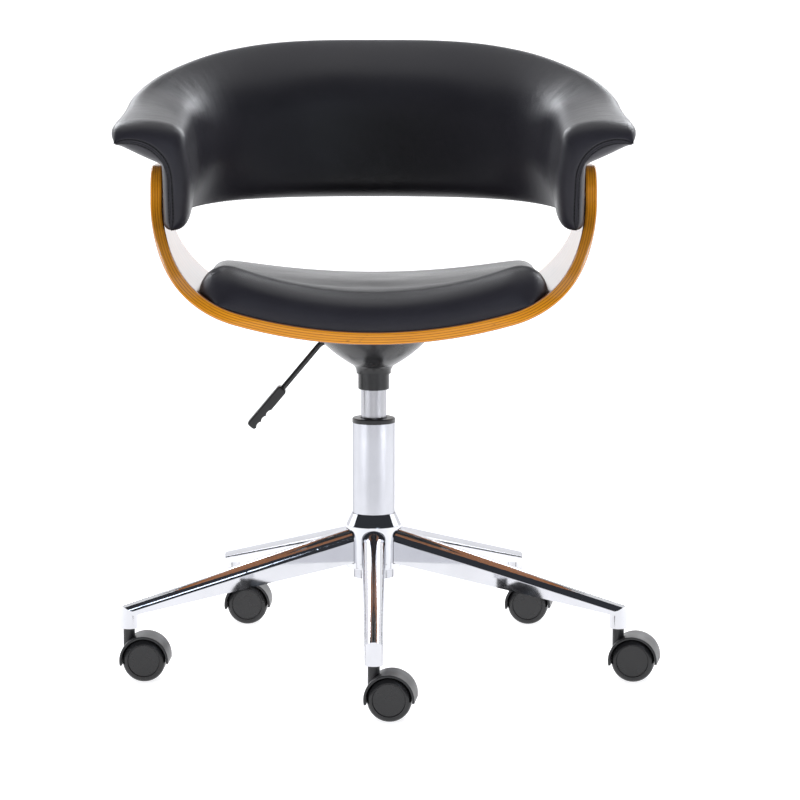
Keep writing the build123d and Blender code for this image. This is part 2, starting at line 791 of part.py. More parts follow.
with BuildPart() as seat_hoop:
    with BuildSketch(across(hoop_rear)):
        turns = (-90, -hoop_bottom_angle, hoop_bottom_angle, 90)
        with BuildLine():
            hoop_run(0, turns)
            hoop_run(ply_thickness, turns)
            for side in (-90, 90):
                foot_out = hoop_point(side, 0)
                foot_in = hoop_point(side, ply_thickness)
                top_out = (foot_out[0], hoop_height)
                top_in = (foot_in[0], hoop_height)
                Polyline(foot_out, top_out, top_in, foot_in)
        make_face()
    extrude(amount=hoop_front + hoop_rear)
    with BuildSketch(on(seat_frame, Plane.YZ.offset(-outer_x - 10))):
        low = 26.0
        knee = hoop_height - arm_corner
        with BuildLine():
            Polyline((-hoop_front, low), (-hoop_front, -20), (hoop_rear, -20), (hoop_rear, low))
            Bezier((hoop_rear, low), (hoop_rear, 90), (arm_rear, 95), (arm_rear, knee))
            ThreePointArc(
                (arm_rear, knee),
                (arm_rear - 0.293 * arm_corner, hoop_height - 0.293 * arm_corner),
                (arm_rear - arm_corner, hoop_height),
            )
            Line((arm_rear - arm_corner, hoop_height), (arm_corner - arm_front, hoop_height))
            ThreePointArc(
                (arm_corner - arm_front, hoop_height),
                (0.293 * arm_corner - arm_front, hoop_height - 0.293 * arm_corner),
                (-arm_front, knee),
            )
            Bezier((-arm_front, knee), (-arm_front, 95), (-hoop_front, 90), (-hoop_front, low))
        make_face()
    extrude(amount=2 * outer_x + 20, mode=Mode.INTERSECT)
    seams = seat_hoop.edges().filter_by(Axis(seat_frame.origin, seat_frame.y_dir))
    fillet(seat_hoop.edges() - seams, ply_edge_round)
    for x, y in plate_spots:
        with BuildSketch(hoop_normal(x, y, ply_thickness)):
            Circle(tee_flange_diameter / 2 + running_gap)
        extrude(amount=tee_depth, mode=Mode.SUBTRACT)
        with BuildSketch(hoop_normal(x, y, ply_thickness)):
            Circle(tee_barrel_diameter / 2 + running_gap)
        extrude(amount=ply_thickness + 2, mode=Mode.SUBTRACT)
    for x, y in screw_spots:
        with BuildSketch(hoop_normal(x, y, ply_thickness + 1)):
            Circle(screw_hole)
        extrude(amount=ply_thickness + 4, mode=Mode.SUBTRACT)
    for side in (1, -1):
        for y in back_bolt_ys:
            with BuildSketch(side_spot(side, y)):
                Circle(bolt_hole)
            extrude(amount=-ply_thickness - 5, mode=Mode.SUBTRACT)
            with BuildSketch(side_spot(side, y)):
                Circle(bolt_head_diameter / 2 + running_gap)
            extrude(amount=-head_sink - bolt_head_height - seat_gap, mode=Mode.SUBTRACT)
save(seat_hoop.part, "seat_hoop")

# Plate bolts from below, their heads under the plate
grip_stack = plate_thickness + seat_gap + ply_thickness - tee_depth
with BuildPart() as plate_bolts:
    for x, y in plate_spots:
        with BuildSketch(hoop_normal(x, y, plate_bottom - fixed_gap)):
            RegularPolygon(bolt_head_diameter / 2, 6)
        extrude(amount=bolt_head_height)
        with BuildSketch(hoop_normal(x, y, plate_bottom)):
            Circle(bolt_diameter / 2)
        extrude(amount=-grip_stack + 1)
        with BuildSketch(hoop_normal(x, y, plate_bottom)):
            Circle(bolt_diameter / 2)
        extrude(amount=fixed_gap)
save(plate_bolts.part, "plate_bolts")

with BuildPart() as plate_tee_nuts:
    for x, y in plate_spots:
        with BuildSketch(hoop_normal(x, y, ply_thickness - tee_depth + tee_flange_thickness)):
            Circle(tee_flange_diameter / 2)
        extrude(amount=tee_flange_thickness)
        with BuildSketch(hoop_normal(x, y, ply_thickness - tee_depth)):
            Circle(tee_barrel_diameter / 2)
        extrude(amount=tee_barrel_length)
        with BuildSketch(hoop_normal(x, y, ply_thickness + 1)):
            Circle(bolt_diameter / 2 + fixed_gap)
        extrude(amount=ply_thickness + 2, mode=Mode.SUBTRACT)
save(plate_tee_nuts.part, "plate_tee_nuts")

# Cushion board on the plywood, and the screws that hold it from below
board_bottom = ply_thickness + seat_gap
board_top = board_bottom + board_thickness
board_front = cushion_front - board_margin
board_rear = cushion_rear - board_margin
with BuildPart() as cushion_board:
    with BuildSketch(across(board_rear)):
        with BuildLine():
            hoop_layer(board_bottom, board_top, board_turn)
        make_face()
    extrude(amount=board_front + board_rear)
    for x, y in screw_spots:
        with BuildSketch(hoop_normal(x, y, board_bottom - 1)):
            Circle(screw_diameter / 2 + fixed_gap)
        extrude(amount=-board_thickness, mode=Mode.SUBTRACT)
save(cushion_board.part, "cushion_board")

with BuildPart() as cushion_screws:
    for x, y in screw_spots:
        with BuildSketch(hoop_normal(x, y, -fixed_gap)):
            Circle(screw_head_diameter / 2)
        extrude(amount=screw_head_height)
        with BuildSketch(hoop_normal(x, y, -fixed_gap)):
            Circle(screw_diameter / 2)
        extrude(amount=-ply_thickness - board_thickness + 1.5)
save(cushion_screws.part, "cushion_screws")


# Seat cushion: lofted through sections from front to back, crowned, with drawn-in sides
cushion_half_width = outer_x - ply_thickness - cushion_side_gap
cushion_crest_x = cushion_half_width - cushion_roll


def cushion_section(fill, reach, crest, side):
    """Draws one section: under it the plywood's curve, over it a dish with rolled ends."""
    inset = ply_thickness + soft_gap
    turn = hoop_turn(reach, inset)
    floor = hoop_point(0, inset)[1]
    ledge = hoop_point(hoop_turn(crest, inset), inset)[1]
    middle = floor + cushion_middle * fill
    shoulder = ledge + cushion_side * fill * side
    foot_left, foot_right = hoop_point(-turn, inset), hoop_point(turn, inset)
    rise = 2 * atan2(shoulder - middle, crest)
    hoop_run(inset, (-turn, -hoop_bottom_angle, hoop_bottom_angle, turn))
    ThreePointArc((-crest, shoulder), (0, middle), (crest, shoulder))
    TangentArc((crest, shoulder), foot_right, tangent=(cos(rise), sin(rise)))
    TangentArc((-crest, shoulder), foot_left, tangent=(-cos(rise), sin(rise)))


cushion_rows = (
    (-cushion_front, 0.42, 0.91, 0.90, 1.0),
    (7 - cushion_front, 0.74, 0.96, 0.95, 1.0),
    (20 - cushion_front, 0.93, 0.99, 0.99, 1.0),
    (48 - cushion_front, 1.00, 1.00, 1.00, 1.0),
    (-100.0, 0.97, 0.99, 1.06, 0.78),
    (50.0, 1.00, 0.985, 1.11, 0.62),
    (cushion_rear - 40, 1.00, 0.99, 1.11, 0.62),
    (cushion_rear - 17, 0.92, 0.97, 1.09, 0.62),
    (cushion_rear - 6, 0.74, 0.94, 1.05, 0.62),
    (cushion_rear, 0.42, 0.89, 0.97, 0.62),
)
with BuildPart() as seat_cushion:
    for y, fill, wide, crest, side in cushion_rows:
        with BuildSketch(across(y)):
            with BuildLine():
                cushion_section(fill, cushion_half_width * wide, cushion_crest_x * crest, side)
            make_face()
    loft()
    with BuildSketch(across(board_rear + soft_gap)):
        with BuildLine():
            hoop_layer(board_bottom - 3, board_top + soft_gap, board_turn + 0.2)
        make_face()
    extrude(amount=board_front + board_rear + 2 * soft_gap, mode=Mode.SUBTRACT)
save(seat_cushion.part, "seat_cushion")

# The arm's outside keeps clear of the plywood where the corner starts to turn in
arm_foot = hoop_height - arm_drop + 8 - (wrap_arm_length - wrap_corner_y) * tan(tilt)
arm_foot_turn = acos(max(0.0, (corner_y - arm_foot) / (hoop_corner_radius - ply_thickness)))
arm_wall_x = corner_x + (hoop_corner_radius - ply_thickness) * sin(arm_foot_turn)
wrap_half_width = arm_wall_x - soft_gap - pad_outer_arm

# Backrest plan: a shallow back arc, two corner arcs and two straight arms, all tangent
back_turn = radians(wrap_back_angle)
wrap_corner_x = wrap_half_width - wrap_corner_radius
wrap_back_radius = wrap_corner_radius + wrap_corner_x / sin(back_turn)
wrap_back_y = wrap_corner_y - wrap_corner_x / tan(back_turn)
back_length = wrap_back_radius * back_turn
corner_length = wrap_corner_radius * (radians(90) - back_turn)
wrap_length = back_length + corner_length + wrap_arm_length


def wrap_plane(s):
    """The upright section plane at distance s along the plan from the middle of the back."""
    side = 1 if s >= 0 else -1
    run = abs(s)
    if run <= back_length:
        a = run / wrap_back_radius
        x, y = wrap_back_radius * sin(a), wrap_back_y + wrap_back_radius * cos(a)
    elif run <= back_length + corner_length:
        a = back_turn + (run - back_length) / wrap_corner_radius
        x, y = wrap_corner_x + wrap_corner_radius * sin(a), wrap_corner_y + wrap_corner_radius * cos(a)
    else:
        a = radians(90)
        x, y = wrap_half_width, wrap_corner_y - (run - back_length - corner_length)
    out = Vector(side * sin(a), cos(a), 0)
    return Plane(origin=(side * x, y, 0), x_dir=out, z_dir=out.cross(Vector(0, 0, 1)))


def middle_of(a, b, centre):
    """The point halfway along the shorter arc from a to b about a centre."""
    ax, ay = a[0] - centre[0], a[1] - centre[1]
    bx, by = b[0] - centre[0], b[1] - centre[1]
    size = hypot(ax, ay) / hypot(ax + bx, ay + by)
    return centre[0] + (ax + bx) * size, centre[1] + (ay + by) * size


def bowed(a, b, bow):
    """The point beside the middle of a chord, to the left of it by the bow."""
    dx, dy = b[0] - a[0], b[1] - a[1]
    size = hypot(dx, dy)
    return (a[0] + b[0]) / 2 - dy / size * bow, (a[1] + b[1]) / 2 + dx / size * bow


class Station:
    """One upright section of the backrest: X outward from the plan line, Y up."""

    def __init__(self, bottom, lip, reach, lean, nod, wall, under, inner, outer, crown, square, slim=0.0):
        """Heights in mm above the floor, lean and nod in degrees, slim draws the section in."""
        bottom, lip, reach = bottom + slim, lip - slim * 0.6, reach - slim
        wall, crown = wall - slim * 0.8, crown - slim * 0.6
        inner, outer = inner - slim * 0.7, outer - slim * 0.5
        lean, nod = radians(lean), radians(nod)
        half = lip_thickness / 2 - slim * 0.55
        self.up = (sin(lean), cos(lean))
        self.across = (cos(lean), -sin(lean))
        self.bottom = (0.0, bottom)
        self.front_foot = (-inner, bottom + inner)
        rise = wall - self.front_foot[1]
        self.front_bend = (-inner + rise * tan(lean), wall)
        self.back_foot = (outer, bottom + outer)
        self.back_bend = (outer + (under - self.back_foot[1]) * tan(lean), under)
        top = (-sin(nod), cos(nod))
        self.lip = (reach - half * 0.8 * cos(nod), lip - half * cos(nod) - half * 0.3 * sin(nod))
        self.lip_top = (self.lip[0] + (half + crown) * top[0], self.lip[1] + (half + crown) * top[1])
        self.brow = lip_thickness * 0.12 + max(0.0, crown) * 0.25
        self.lip_low = (self.lip[0] - half * top[0], self.lip[1] - half * top[1])
        self.tip = (self.lip[0] + half * 0.8 * cos(nod), self.lip[1] + half * 0.8 * sin(nod))
        chord = (self.lip_top[0] - self.front_bend[0], self.lip_top[1] - self.front_bend[1])
        side = chord[0] * self.across[0] + chord[1] * self.across[1]
        size = (chord[0] ** 2 + chord[1] ** 2) / (2 * side)
        turn = atan2(side, chord[0] * self.up[0] + chord[1] * self.up[1])
        size += (arm_edge_radius - size) * square
        turn += (radians(arm_edge_turn) - turn) * square
        over, rise = size * (1 - cos(turn)), size * sin(turn)
        self.crest = (
            self.front_bend[0] + self.across[0] * over + self.up[0] * rise,
            self.front_bend[1] + self.across[1] * over + self.up[1] * rise,
        )
        self.crest_way = (
            self.up[0] * cos(turn) + self.across[0] * sin(turn),
            self.up[1] * cos(turn) + self.across[1] * sin(turn),
        )
        bend_z = under - 16
        self.bend = ((bend_z - bottom) * tan(lean), bend_z)
        chord = (self.lip[0] - self.bend[0], self.lip[1] - self.bend[1])
        side = chord[0] * self.across[0] + chord[1] * self.across[1]
        self.radius = (chord[0] ** 2 + chord[1] ** 2) / (2 * side)
        self.centre = (
            self.bend[0] + self.radius * self.across[0],
            self.bend[1] + self.radius * self.across[1],
        )
        self.end = (
            (self.lip[0] - self.centre[0]) / self.radius,
            (self.lip[1] - self.centre[1]) / self.radius,
        )

    def middle(self, inset, short=0.0):
        """Bend, arc middle and end of the middle line, moved towards the front by the inset."""
        size = self.radius + inset
        back = short / self.radius
        x = self.end[0] * cos(back) - self.end[1] * sin(back)
        y = self.end[0] * sin(back) + self.end[1] * cos(back)
        a = (self.bend[0] - self.across[0] * inset, self.bend[1] - self.across[1] * inset)
        b = (self.centre[0] + x * size, self.centre[1] + y * size)
        return a, middle_of(a, b, self.centre), b

    def low(self, inset, rise):
        """The middle line's lower end, raised along the lean and moved towards the front."""
        x = self.bottom[0] + self.up[0] * rise - self.across[0] * inset
        y = self.bottom[1] + self.up[1] * rise - self.across[1] * inset
        return x, y

    def front_skin(self, gap):
        """Draws the front pad's outside from the lower seam to the lip's seam."""
        start = self.low(gap, 0)
        turned = (self.front_foot[0] + 0.29 * pad_inner * 0.9, self.bottom[1] + 0.29 * pad_inner * 0.9)
        end = (self.tip[0] + self.end[0] * gap, self.tip[1] + self.end[1] * gap)
        ThreePointArc(start, turned, self.front_foot)
        Line(self.front_foot, self.front_bend)
        TangentArc(self.front_bend, self.crest, tangent=self.up)
        TangentArc(self.crest, self.lip_top, tangent=self.crest_way)
        ThreePointArc(self.lip_top, bowed(self.lip_top, end, self.brow), end)
        return start, end

    def back_skin(self, gap):
        """Draws the back pad's outside from the lower seam to the lip's seam."""
        start = self.low(-gap, 0)
        lean_in = 0.29 * self.back_foot[0] * 0.9
        turned = (self.back_foot[0] - lean_in, self.bottom[1] + lean_in)
        end = (self.tip[0] - self.end[0] * gap, self.tip[1] - self.end[1] * gap)
        ThreePointArc(start, turned, self.back_foot)
        Line(self.back_foot, self.back_bend)
        ThreePointArc(self.back_bend, bowed(self.back_bend, self.lip_low, 3.0), self.lip_low)
        ThreePointArc(self.lip_low, bowed(self.lip_low, end, -lip_thickness * 0.12), end)
        return start, end

    def pocket(self, start, end, gap, inset):
        """Draws the way back along the middle line, stepping around the shell."""
        top = self.middle(gap)[2]
        bend, arc, edge = self.middle(inset)
        foot = self.low(inset, shell_edge)
        sill = self.low(gap, shell_edge)
        Polyline(end, top, edge)
        ThreePointArc(edge, arc, bend)
        Polyline(bend, foot, sill, start)

    def flat(self, start, end, gap):
        """Draws the way back along the middle line without the shell's pocket."""
        bend, arc, top = self.middle(gap)
        Line(end, top)
        ThreePointArc(top, arc, bend)
        Line(bend, start)

    def shell(self):
        """Draws the shell's own section."""
        half = shell_thickness / 2
        rise = shell_edge + shell_gap
        front, back = self.middle(half, shell_gap), self.middle(-half, shell_gap)
        Polyline(front[0], self.low(half, rise), self.low(-half, rise), back[0])
        ThreePointArc(back[0], back[1], back[2])
        Line(back[2], front[2])
        ThreePointArc(front[2], front[1], front[0])


# Distance along the plan, then heights over the tops of the arms: bottom, lip; reach; lean and nod in
# degrees; heights of the front and back bends; thickness in front of and behind the middle line;
# crown on the lip; how square the front bend is
arm_shell = wrap_length - nose_length
arm_start = back_length + corner_length
back_rows = (
    (0.0, -back_drop, 135.5, 55.0, 8.0, 44.0, 56.0, 46.0, pad_inner, pad_outer_back, 0.0, 0.06),
    (back_length, -back_drop - 1, 126.5, 54.0, 7.5, 40.0, 44.0, 37.0, pad_inner, pad_outer_back, 0.0, 0.06),
    (arm_start - corner_length / 2, -58.0, 101.0, 54.0, 5.0, 29.0, 40.0, 25.0, pad_inner, 12.0, 1.0, 0.3),
    (arm_start, -63.0, 70.0, 58.0, arm_lean, 14.0, 46.0, 18.0, pad_inner, pad_outer_arm, 4.0, 0.9),
    (arm_shell, -arm_drop, 45.0, 68.0, arm_lean, 0.0, 35.0, 7.0, pad_inner, pad_outer_arm, arm_crown, 1.0),
    (wrap_length, -arm_drop, 42.5, 69.0, arm_lean, -2.0, 33.0, 5.0, pad_inner, pad_outer_arm, arm_crown, 1.0),
)


def row_at(s):
    """The section's sizes at distance s, run smoothly through the rows without overshoot."""
    run = abs(s)
    i = max(k for k in range(len(back_rows) - 1) if back_rows[k][0] <= run + 1e-6)
    a, b = back_rows[i], back_rows[i + 1]
    before = back_rows[i - 1] if i > 0 else None
    after = back_rows[i + 2] if i + 2 < len(back_rows) else None
    h = b[0] - a[0]
    t = (run - a[0]) / h
    values = []
    for k in range(1, len(a)):
        step = (b[k] - a[k]) / h
        back = (a[k] - before[k]) / (a[0] - before[0]) if before else 0.0
        ahead = (after[k] - b[k]) / (after[0] - b[0]) if after else step
        leave = (back + step) / 2 if back * step > 0 else 0.0
        arrive = (step + ahead) / 2 if step * ahead > 0 else 0.0
        curve = a[k] * (1 + 2 * t) * (1 - t) ** 2 + b[k] * t * t * (3 - 2 * t)
        values.append(curve + h * t * (1 - t) * (leave * (1 - t) - arrive * t))
    heights = (0, 1, 5, 6)
    return [v + arm_top_z if k in heights else v for k, v in enumerate(values)]


half_stops = [back_length * 0.5, back_length]
half_stops += [back_length + corner_length * q for q in (0.25, 0.5, 0.75, 1.0)]
half_stops += [arm_start + (arm_shell - arm_start) * q for q in (0.2, 0.5, 0.78, 1.0)]
stops = [-s for s in reversed(half_stops)] + [0.0] + half_stops
nose_stops = (
    (arm_shell, 0.0),
    (wrap_length - nose_length * 0.45, 1.0),
    (wrap_length - nose_length * 0.15, 4.0),
    (wrap_length, 8.0),
)
pocket_inset = shell_thickness / 2 + shell_gap
insert_front = wrap_half_width + (back_bolt_rise - 2) * tan(radians(arm_lean)) - shell_thickness / 2

# Front pad: pocketed around the shell, with a solid nose on each arm
with BuildPart() as backrest_front_pad:
    for s in stops:
        with BuildSketch(wrap_plane(s)):
            with BuildLine():
                station = Station(*row_at(s))
                start, end = station.front_skin(seam_gap)
                station.pocket(start, end, seam_gap, pocket_inset)
            make_face()
    loft()
    for side in (1, -1):
        for s, slim in nose_stops:
            with BuildSketch(wrap_plane(side * s)):
                with BuildLine():
                    station = Station(*row_at(s), slim=slim)
                    start, end = station.front_skin(seam_gap)
                    station.flat(start, end, seam_gap)
                make_face()
        loft()
save(backrest_front_pad.part, "backrest_front_pad")

# Back pad: the same way on the other side of the seam, with holes for the bolts
with BuildPart() as backrest_back_pad:
    for s in stops:
        with BuildSketch(wrap_plane(s)):
            with BuildLine():
                station = Station(*row_at(s))
                start, end = station.back_skin(seam_gap)
                station.pocket(start, end, -seam_gap, -pocket_inset)
            make_face()
    loft()
    for side in (1, -1):
        for s, slim in nose_stops:
            with BuildSketch(wrap_plane(side * s)):
                with BuildLine():
                    station = Station(*row_at(s), slim=slim)
                    start, end = station.back_skin(seam_gap)
                    station.flat(start, end, -seam_gap)
                make_face()
        loft()
    for side in (1, -1):
        for y in back_bolt_ys:
            with BuildSketch(side_spot(side, y)):
                Circle(bolt_hole)
            extrude(amount=-(outer_x - wrap_half_width), mode=Mode.SUBTRACT)
save(backrest_back_pad.part, "backrest_back_pad")

# Moulded shell between the pads, ending short of the arm noses
with BuildPart() as backrest_shell:
    for s in stops:
        inside = max(shell_gap - arm_shell, min(arm_shell - shell_gap, s))
        with BuildSketch(wrap_plane(inside)):
            with BuildLine():
                Station(*row_at(inside)).shell()
            make_face()
    loft()
    for side in (1, -1):
        for y in back_bolt_ys:
            with BuildSketch(side_spot(side, y)):
                Circle(insert_diameter / 2 + fixed_gap)
            extrude(amount=-(outer_x - wrap_half_width + shell_thickness), mode=Mode.SUBTRACT)
save(backrest_shell.part, "backrest_shell")

# Threaded inserts in the shell, and the sunk bolts that reach them through the plywood arms
with BuildPart() as backrest_inserts:
    for side in (1, -1):
        for y in back_bolt_ys:
            with BuildSketch(side_spot(side, y).offset(insert_front + shell_thickness - outer_x)):
                Circle(insert_diameter / 2)
                Circle(bolt_diameter / 2 + fixed_gap, mode=Mode.SUBTRACT)
            extrude(amount=-shell_thickness)
save(backrest_inserts.part, "backrest_inserts")

with BuildPart() as backrest_bolts:
    for side in (1, -1):
        for y in back_bolt_ys:
            head = side_spot(side, y).offset(-head_sink)
            with BuildSketch(head):
                Circle(bolt_head_diameter / 2)
            extrude(amount=-bolt_head_height)
            with BuildSketch(head):
                Circle(bolt_diameter / 2)
            extrude(amount=-(outer_x - head_sink - insert_front - 0.5))
            with BuildSketch(head):
                RegularPolygon(key_size / 2, 6, major_radius=False)
            extrude(amount=-bolt_head_height * 0.6, mode=Mode.SUBTRACT)
save(backrest_bolts.part, "backrest_bolts")
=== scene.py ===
# %% [markdown]
# # A swivel armchair, dressed around its CAD frame
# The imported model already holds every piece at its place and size, so this lesson moves none of them.
# It gives each piece its finish, and swaps the three soft solids for covers that look sewn and
# stuffed. Everything is in metres: +Z is up, the floor is Z = 0 and the chair faces -Y.

# %% Load the frame
import json
from math import cos, pi, radians, sin, tan

import bpy
import numpy as np
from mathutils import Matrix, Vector


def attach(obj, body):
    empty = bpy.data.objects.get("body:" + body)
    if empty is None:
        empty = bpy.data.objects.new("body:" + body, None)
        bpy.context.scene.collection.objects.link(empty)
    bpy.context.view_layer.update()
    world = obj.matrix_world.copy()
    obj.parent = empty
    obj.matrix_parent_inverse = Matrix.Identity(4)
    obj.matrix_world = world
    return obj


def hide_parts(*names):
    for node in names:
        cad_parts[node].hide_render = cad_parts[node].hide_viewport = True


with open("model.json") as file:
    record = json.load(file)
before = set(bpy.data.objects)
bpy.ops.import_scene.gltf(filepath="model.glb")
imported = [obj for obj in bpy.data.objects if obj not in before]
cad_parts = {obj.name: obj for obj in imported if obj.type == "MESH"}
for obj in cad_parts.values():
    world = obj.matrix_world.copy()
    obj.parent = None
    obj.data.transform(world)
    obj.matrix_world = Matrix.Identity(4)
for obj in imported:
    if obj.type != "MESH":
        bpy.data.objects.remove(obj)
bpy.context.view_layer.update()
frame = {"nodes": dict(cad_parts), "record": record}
scene = bpy.context.scene
nodes = frame["nodes"]

# %% [markdown]
# ## One way to make every new surface
# Each new piece is a grid of points that numpy works out as a whole array. A cushion could also be
# sculpted or built from a subdivided cube, but a formula keeps the size true to the frame and can be
# changed by one number. Three helpers are enough: one numbers the corners of the grid's cells, one puts
# the arrays into a mesh, and one works out which way the surface faces.


# %% Grid helpers
def cells_of(rows, cols, ring=False):
    """Corner numbers of each cell of a grid; a ring also joins the last column to the first."""
    r, c = np.meshgrid(np.arange(rows - 1), np.arange(cols if ring else cols - 1), indexing="ij")
    right = (c + 1) % cols
    here, onward = r * cols, (r + 1) * cols
    return np.stack([here + c, onward + c, onward + right, here + right], axis=-1).reshape(-1, 4)


def make_piece(name, points, cells, finish=None, uv=None):
    """A mesh object at the origin from an array of points and an array of four-sided cells."""
    mesh = bpy.data.meshes.new(name)
    flat = np.ascontiguousarray(points, np.float32).reshape(-1, 3)
    mesh.vertices.add(len(flat))
    mesh.vertices.foreach_set("co", flat.ravel())
    mesh.loops.add(cells.size)
    mesh.loops.foreach_set("vertex_index", cells.astype(np.int32).ravel())
    mesh.polygons.add(len(cells))
    mesh.polygons.foreach_set("loop_start", np.arange(len(cells), dtype=np.int32) * cells.shape[1])
    mesh.update(calc_edges=True)
    mesh.validate()
    if uv is not None:
        layer = mesh.uv_layers.new(name="length_and_girth")
        corners = uv.reshape(-1, 2)[cells.ravel()]
        layer.data.foreach_set("uv", np.ascontiguousarray(corners, np.float32).ravel())
    mesh.polygons.foreach_set("use_smooth", np.full(len(cells), True))
    piece = bpy.data.objects.new(name, mesh)
    scene.collection.objects.link(piece)
    if finish is not None:
        mesh.materials.append(finish)
    return piece


def normals_of(points):
    """Unit normals of a grid surface: the cross product of its two directions of travel."""
    along = np.gradient(points, axis=0)
    over = np.gradient(points, axis=1)
    n = np.cross(along, over)
    return n / np.maximum(np.linalg.norm(n, axis=-1, keepdims=True), 1e-9)


# %% [markdown]
# ## Camera
# The photograph was taken with a long lens from a little above the seat. Fitting the star base, the
# casters and the column gives the eye's place, the downward tilt and the focal length. The chair sits
# left of the picture's middle, and a small lens shift does that without turning the camera.

# %% Camera
eye_back, eye_height, eye_tilt = 4.35125, 0.9341, radians(8.094)
picture, focal, middle_u = 800.0, 3718.7, 373.7
lens = bpy.data.cameras.new("eye")
lens.sensor_width = 36.0
lens.lens = focal * lens.sensor_width / picture
lens.shift_x = (picture / 2 - middle_u) / picture
eye = bpy.data.objects.new("eye", lens)
eye.location = (0.0, -eye_back, eye_height)
eye.rotation_euler = (pi / 2 - eye_tilt, 0.0, 0.0)
scene.collection.objects.link(eye)
scene.camera = eye
print("lens", round(lens.lens, 1), "mm, shift", round(lens.shift_x, 4))

# %% [markdown]
# ## Floor and light
# The studio is a pale floor that curves up into a backdrop. Black leather and chrome show the room more
# than their own colour, so the room gives little light in front of the chair and above the floor. Two
# soft boxes stand at the sides, two rim boxes behind draw the arms' highlights, and a broad box hangs
# above. Two low boxes at the front only lift matt surfaces, so they leave no spots in chrome or leather;
# a faint low box and a small bluish lamp in front add the little glints that are seen there. The floor is
# open from below, and the room looks pale where the camera sees past the floor.


# %% Floor, backdrop and soft boxes
def shader(name):
    """A material with an empty node tree, its output node and its Principled shader."""
    finish = bpy.data.materials.new(name)
    finish.use_nodes = True
    tree = finish.node_tree
    tree.nodes.clear()
    out = tree.nodes.new("ShaderNodeOutputMaterial")
    main = tree.nodes.new("ShaderNodeBsdfPrincipled")
    tree.links.new(main.outputs["BSDF"], out.inputs["Surface"])
    return finish, tree, main


def add(tree, kind, settings=None, **values):
    """A node of a kind; settings are its own options, and a value is a number or a socket to link."""
    made = tree.nodes.new(kind)
    for key, value in (settings or {}).items():
        setattr(made, key, value)
    for key, value in values.items():
        by_number = key[0] == "i" and key[1:].isdigit()
        socket = made.inputs[int(key[1:]) if by_number else key]
        if isinstance(value, bpy.types.NodeSocket):
            tree.links.new(value, socket)
        else:
            socket.default_value = value
    return made


paper, tree, main = shader("floor_paper")
main.inputs["Base Color"].default_value = (0.55, 0.55, 0.555, 1)
main.inputs["Roughness"].default_value = 0.9
main.inputs["Specular IOR Level"].default_value = 0.1
main.inputs["Emission Strength"].default_value = 1.0
here = add(tree, "ShaderNodeTexCoord").outputs["Object"]
back = add(tree, "ShaderNodeSeparateXYZ", None, i0=here).outputs[1]
glow_front, glow_back = (0.54, 0.54, 0.555, 1), (0.84, 0.84, 0.84, 1)
dim_y, bright_y = -2.4, 1.0
smooth = {"interpolation_type": "SMOOTHSTEP"}
share = add(tree, "ShaderNodeMapRange", smooth, i0=back, i1=dim_y, i2=bright_y).outputs[0]
glow = add(tree, "ShaderNodeMix", {"data_type": "RGBA"}, i0=share, i6=glow_front, i7=glow_back)
tree.links.new(glow.outputs[2], main.inputs["Emission Color"])
below = add(tree, "ShaderNodeNewGeometry").outputs["Backfacing"]
above = add(tree, "ShaderNodeMath", {"operation": "SUBTRACT"}, i0=1.0, i1=below)
tree.links.new(above.outputs[0], main.inputs["Alpha"])

floor_front, sweep_start, sweep_r, wall_foot, wall_top, floor_half = -5.5, 2.2, 1.8, 2.2, 4.5, 6.0
bend = np.linspace(0.1, pi / 2, 14)
level, wall = np.linspace(floor_front, sweep_start, 24), np.linspace(wall_foot, wall_top, 6)
run = np.concatenate([level, sweep_start + sweep_r * np.sin(bend), np.full(6, sweep_start + sweep_r)])
rise = np.concatenate([np.zeros(24), sweep_r * (1 - np.cos(bend)), wall])
wide = np.linspace(-floor_half, floor_half, 3)
sheet = np.stack(np.broadcast_arrays(wide[None, :], run[:, None], rise[:, None]), axis=-1)
floor = make_piece("floor", sheet, cells_of(*sheet.shape[:2])[:, ::-1], paper)

room = bpy.data.worlds.new("room")
room.use_nodes = True
tree = room.node_tree
dim = tree.nodes["Background"]
dim.inputs["Color"].default_value, dim.inputs["Strength"].default_value = (0.80, 0.86, 1.0, 1), 0.05
pale = add(tree, "ShaderNodeBackground", None, Color=(0.90, 0.90, 0.91, 1), Strength=1.0)
seen = add(tree, "ShaderNodeLightPath").outputs["Is Camera Ray"]
both = add(tree, "ShaderNodeMixShader", None, i0=seen, i1=dim.outputs[0], i2=pale.outputs[0])
tree.links.new(both.outputs[0], tree.nodes["World Output"].inputs["Surface"])
scene.world = room


def soft_box(name, place, target, width, height, power, tint=(1, 1, 1)):
    """A rectangular lamp at a place, turned to face a target."""
    lamp = bpy.data.lights.new(name, "AREA")
    lamp.shape, lamp.size, lamp.size_y = "RECTANGLE", width, height
    lamp.energy, lamp.color = power, tint
    holder = bpy.data.objects.new(name, lamp)
    holder.location = place
    aim = Vector(target) - Vector(place)
    holder.rotation_euler = aim.to_track_quat("-Z", "Y").to_euler()
    scene.collection.objects.link(holder)
    return holder


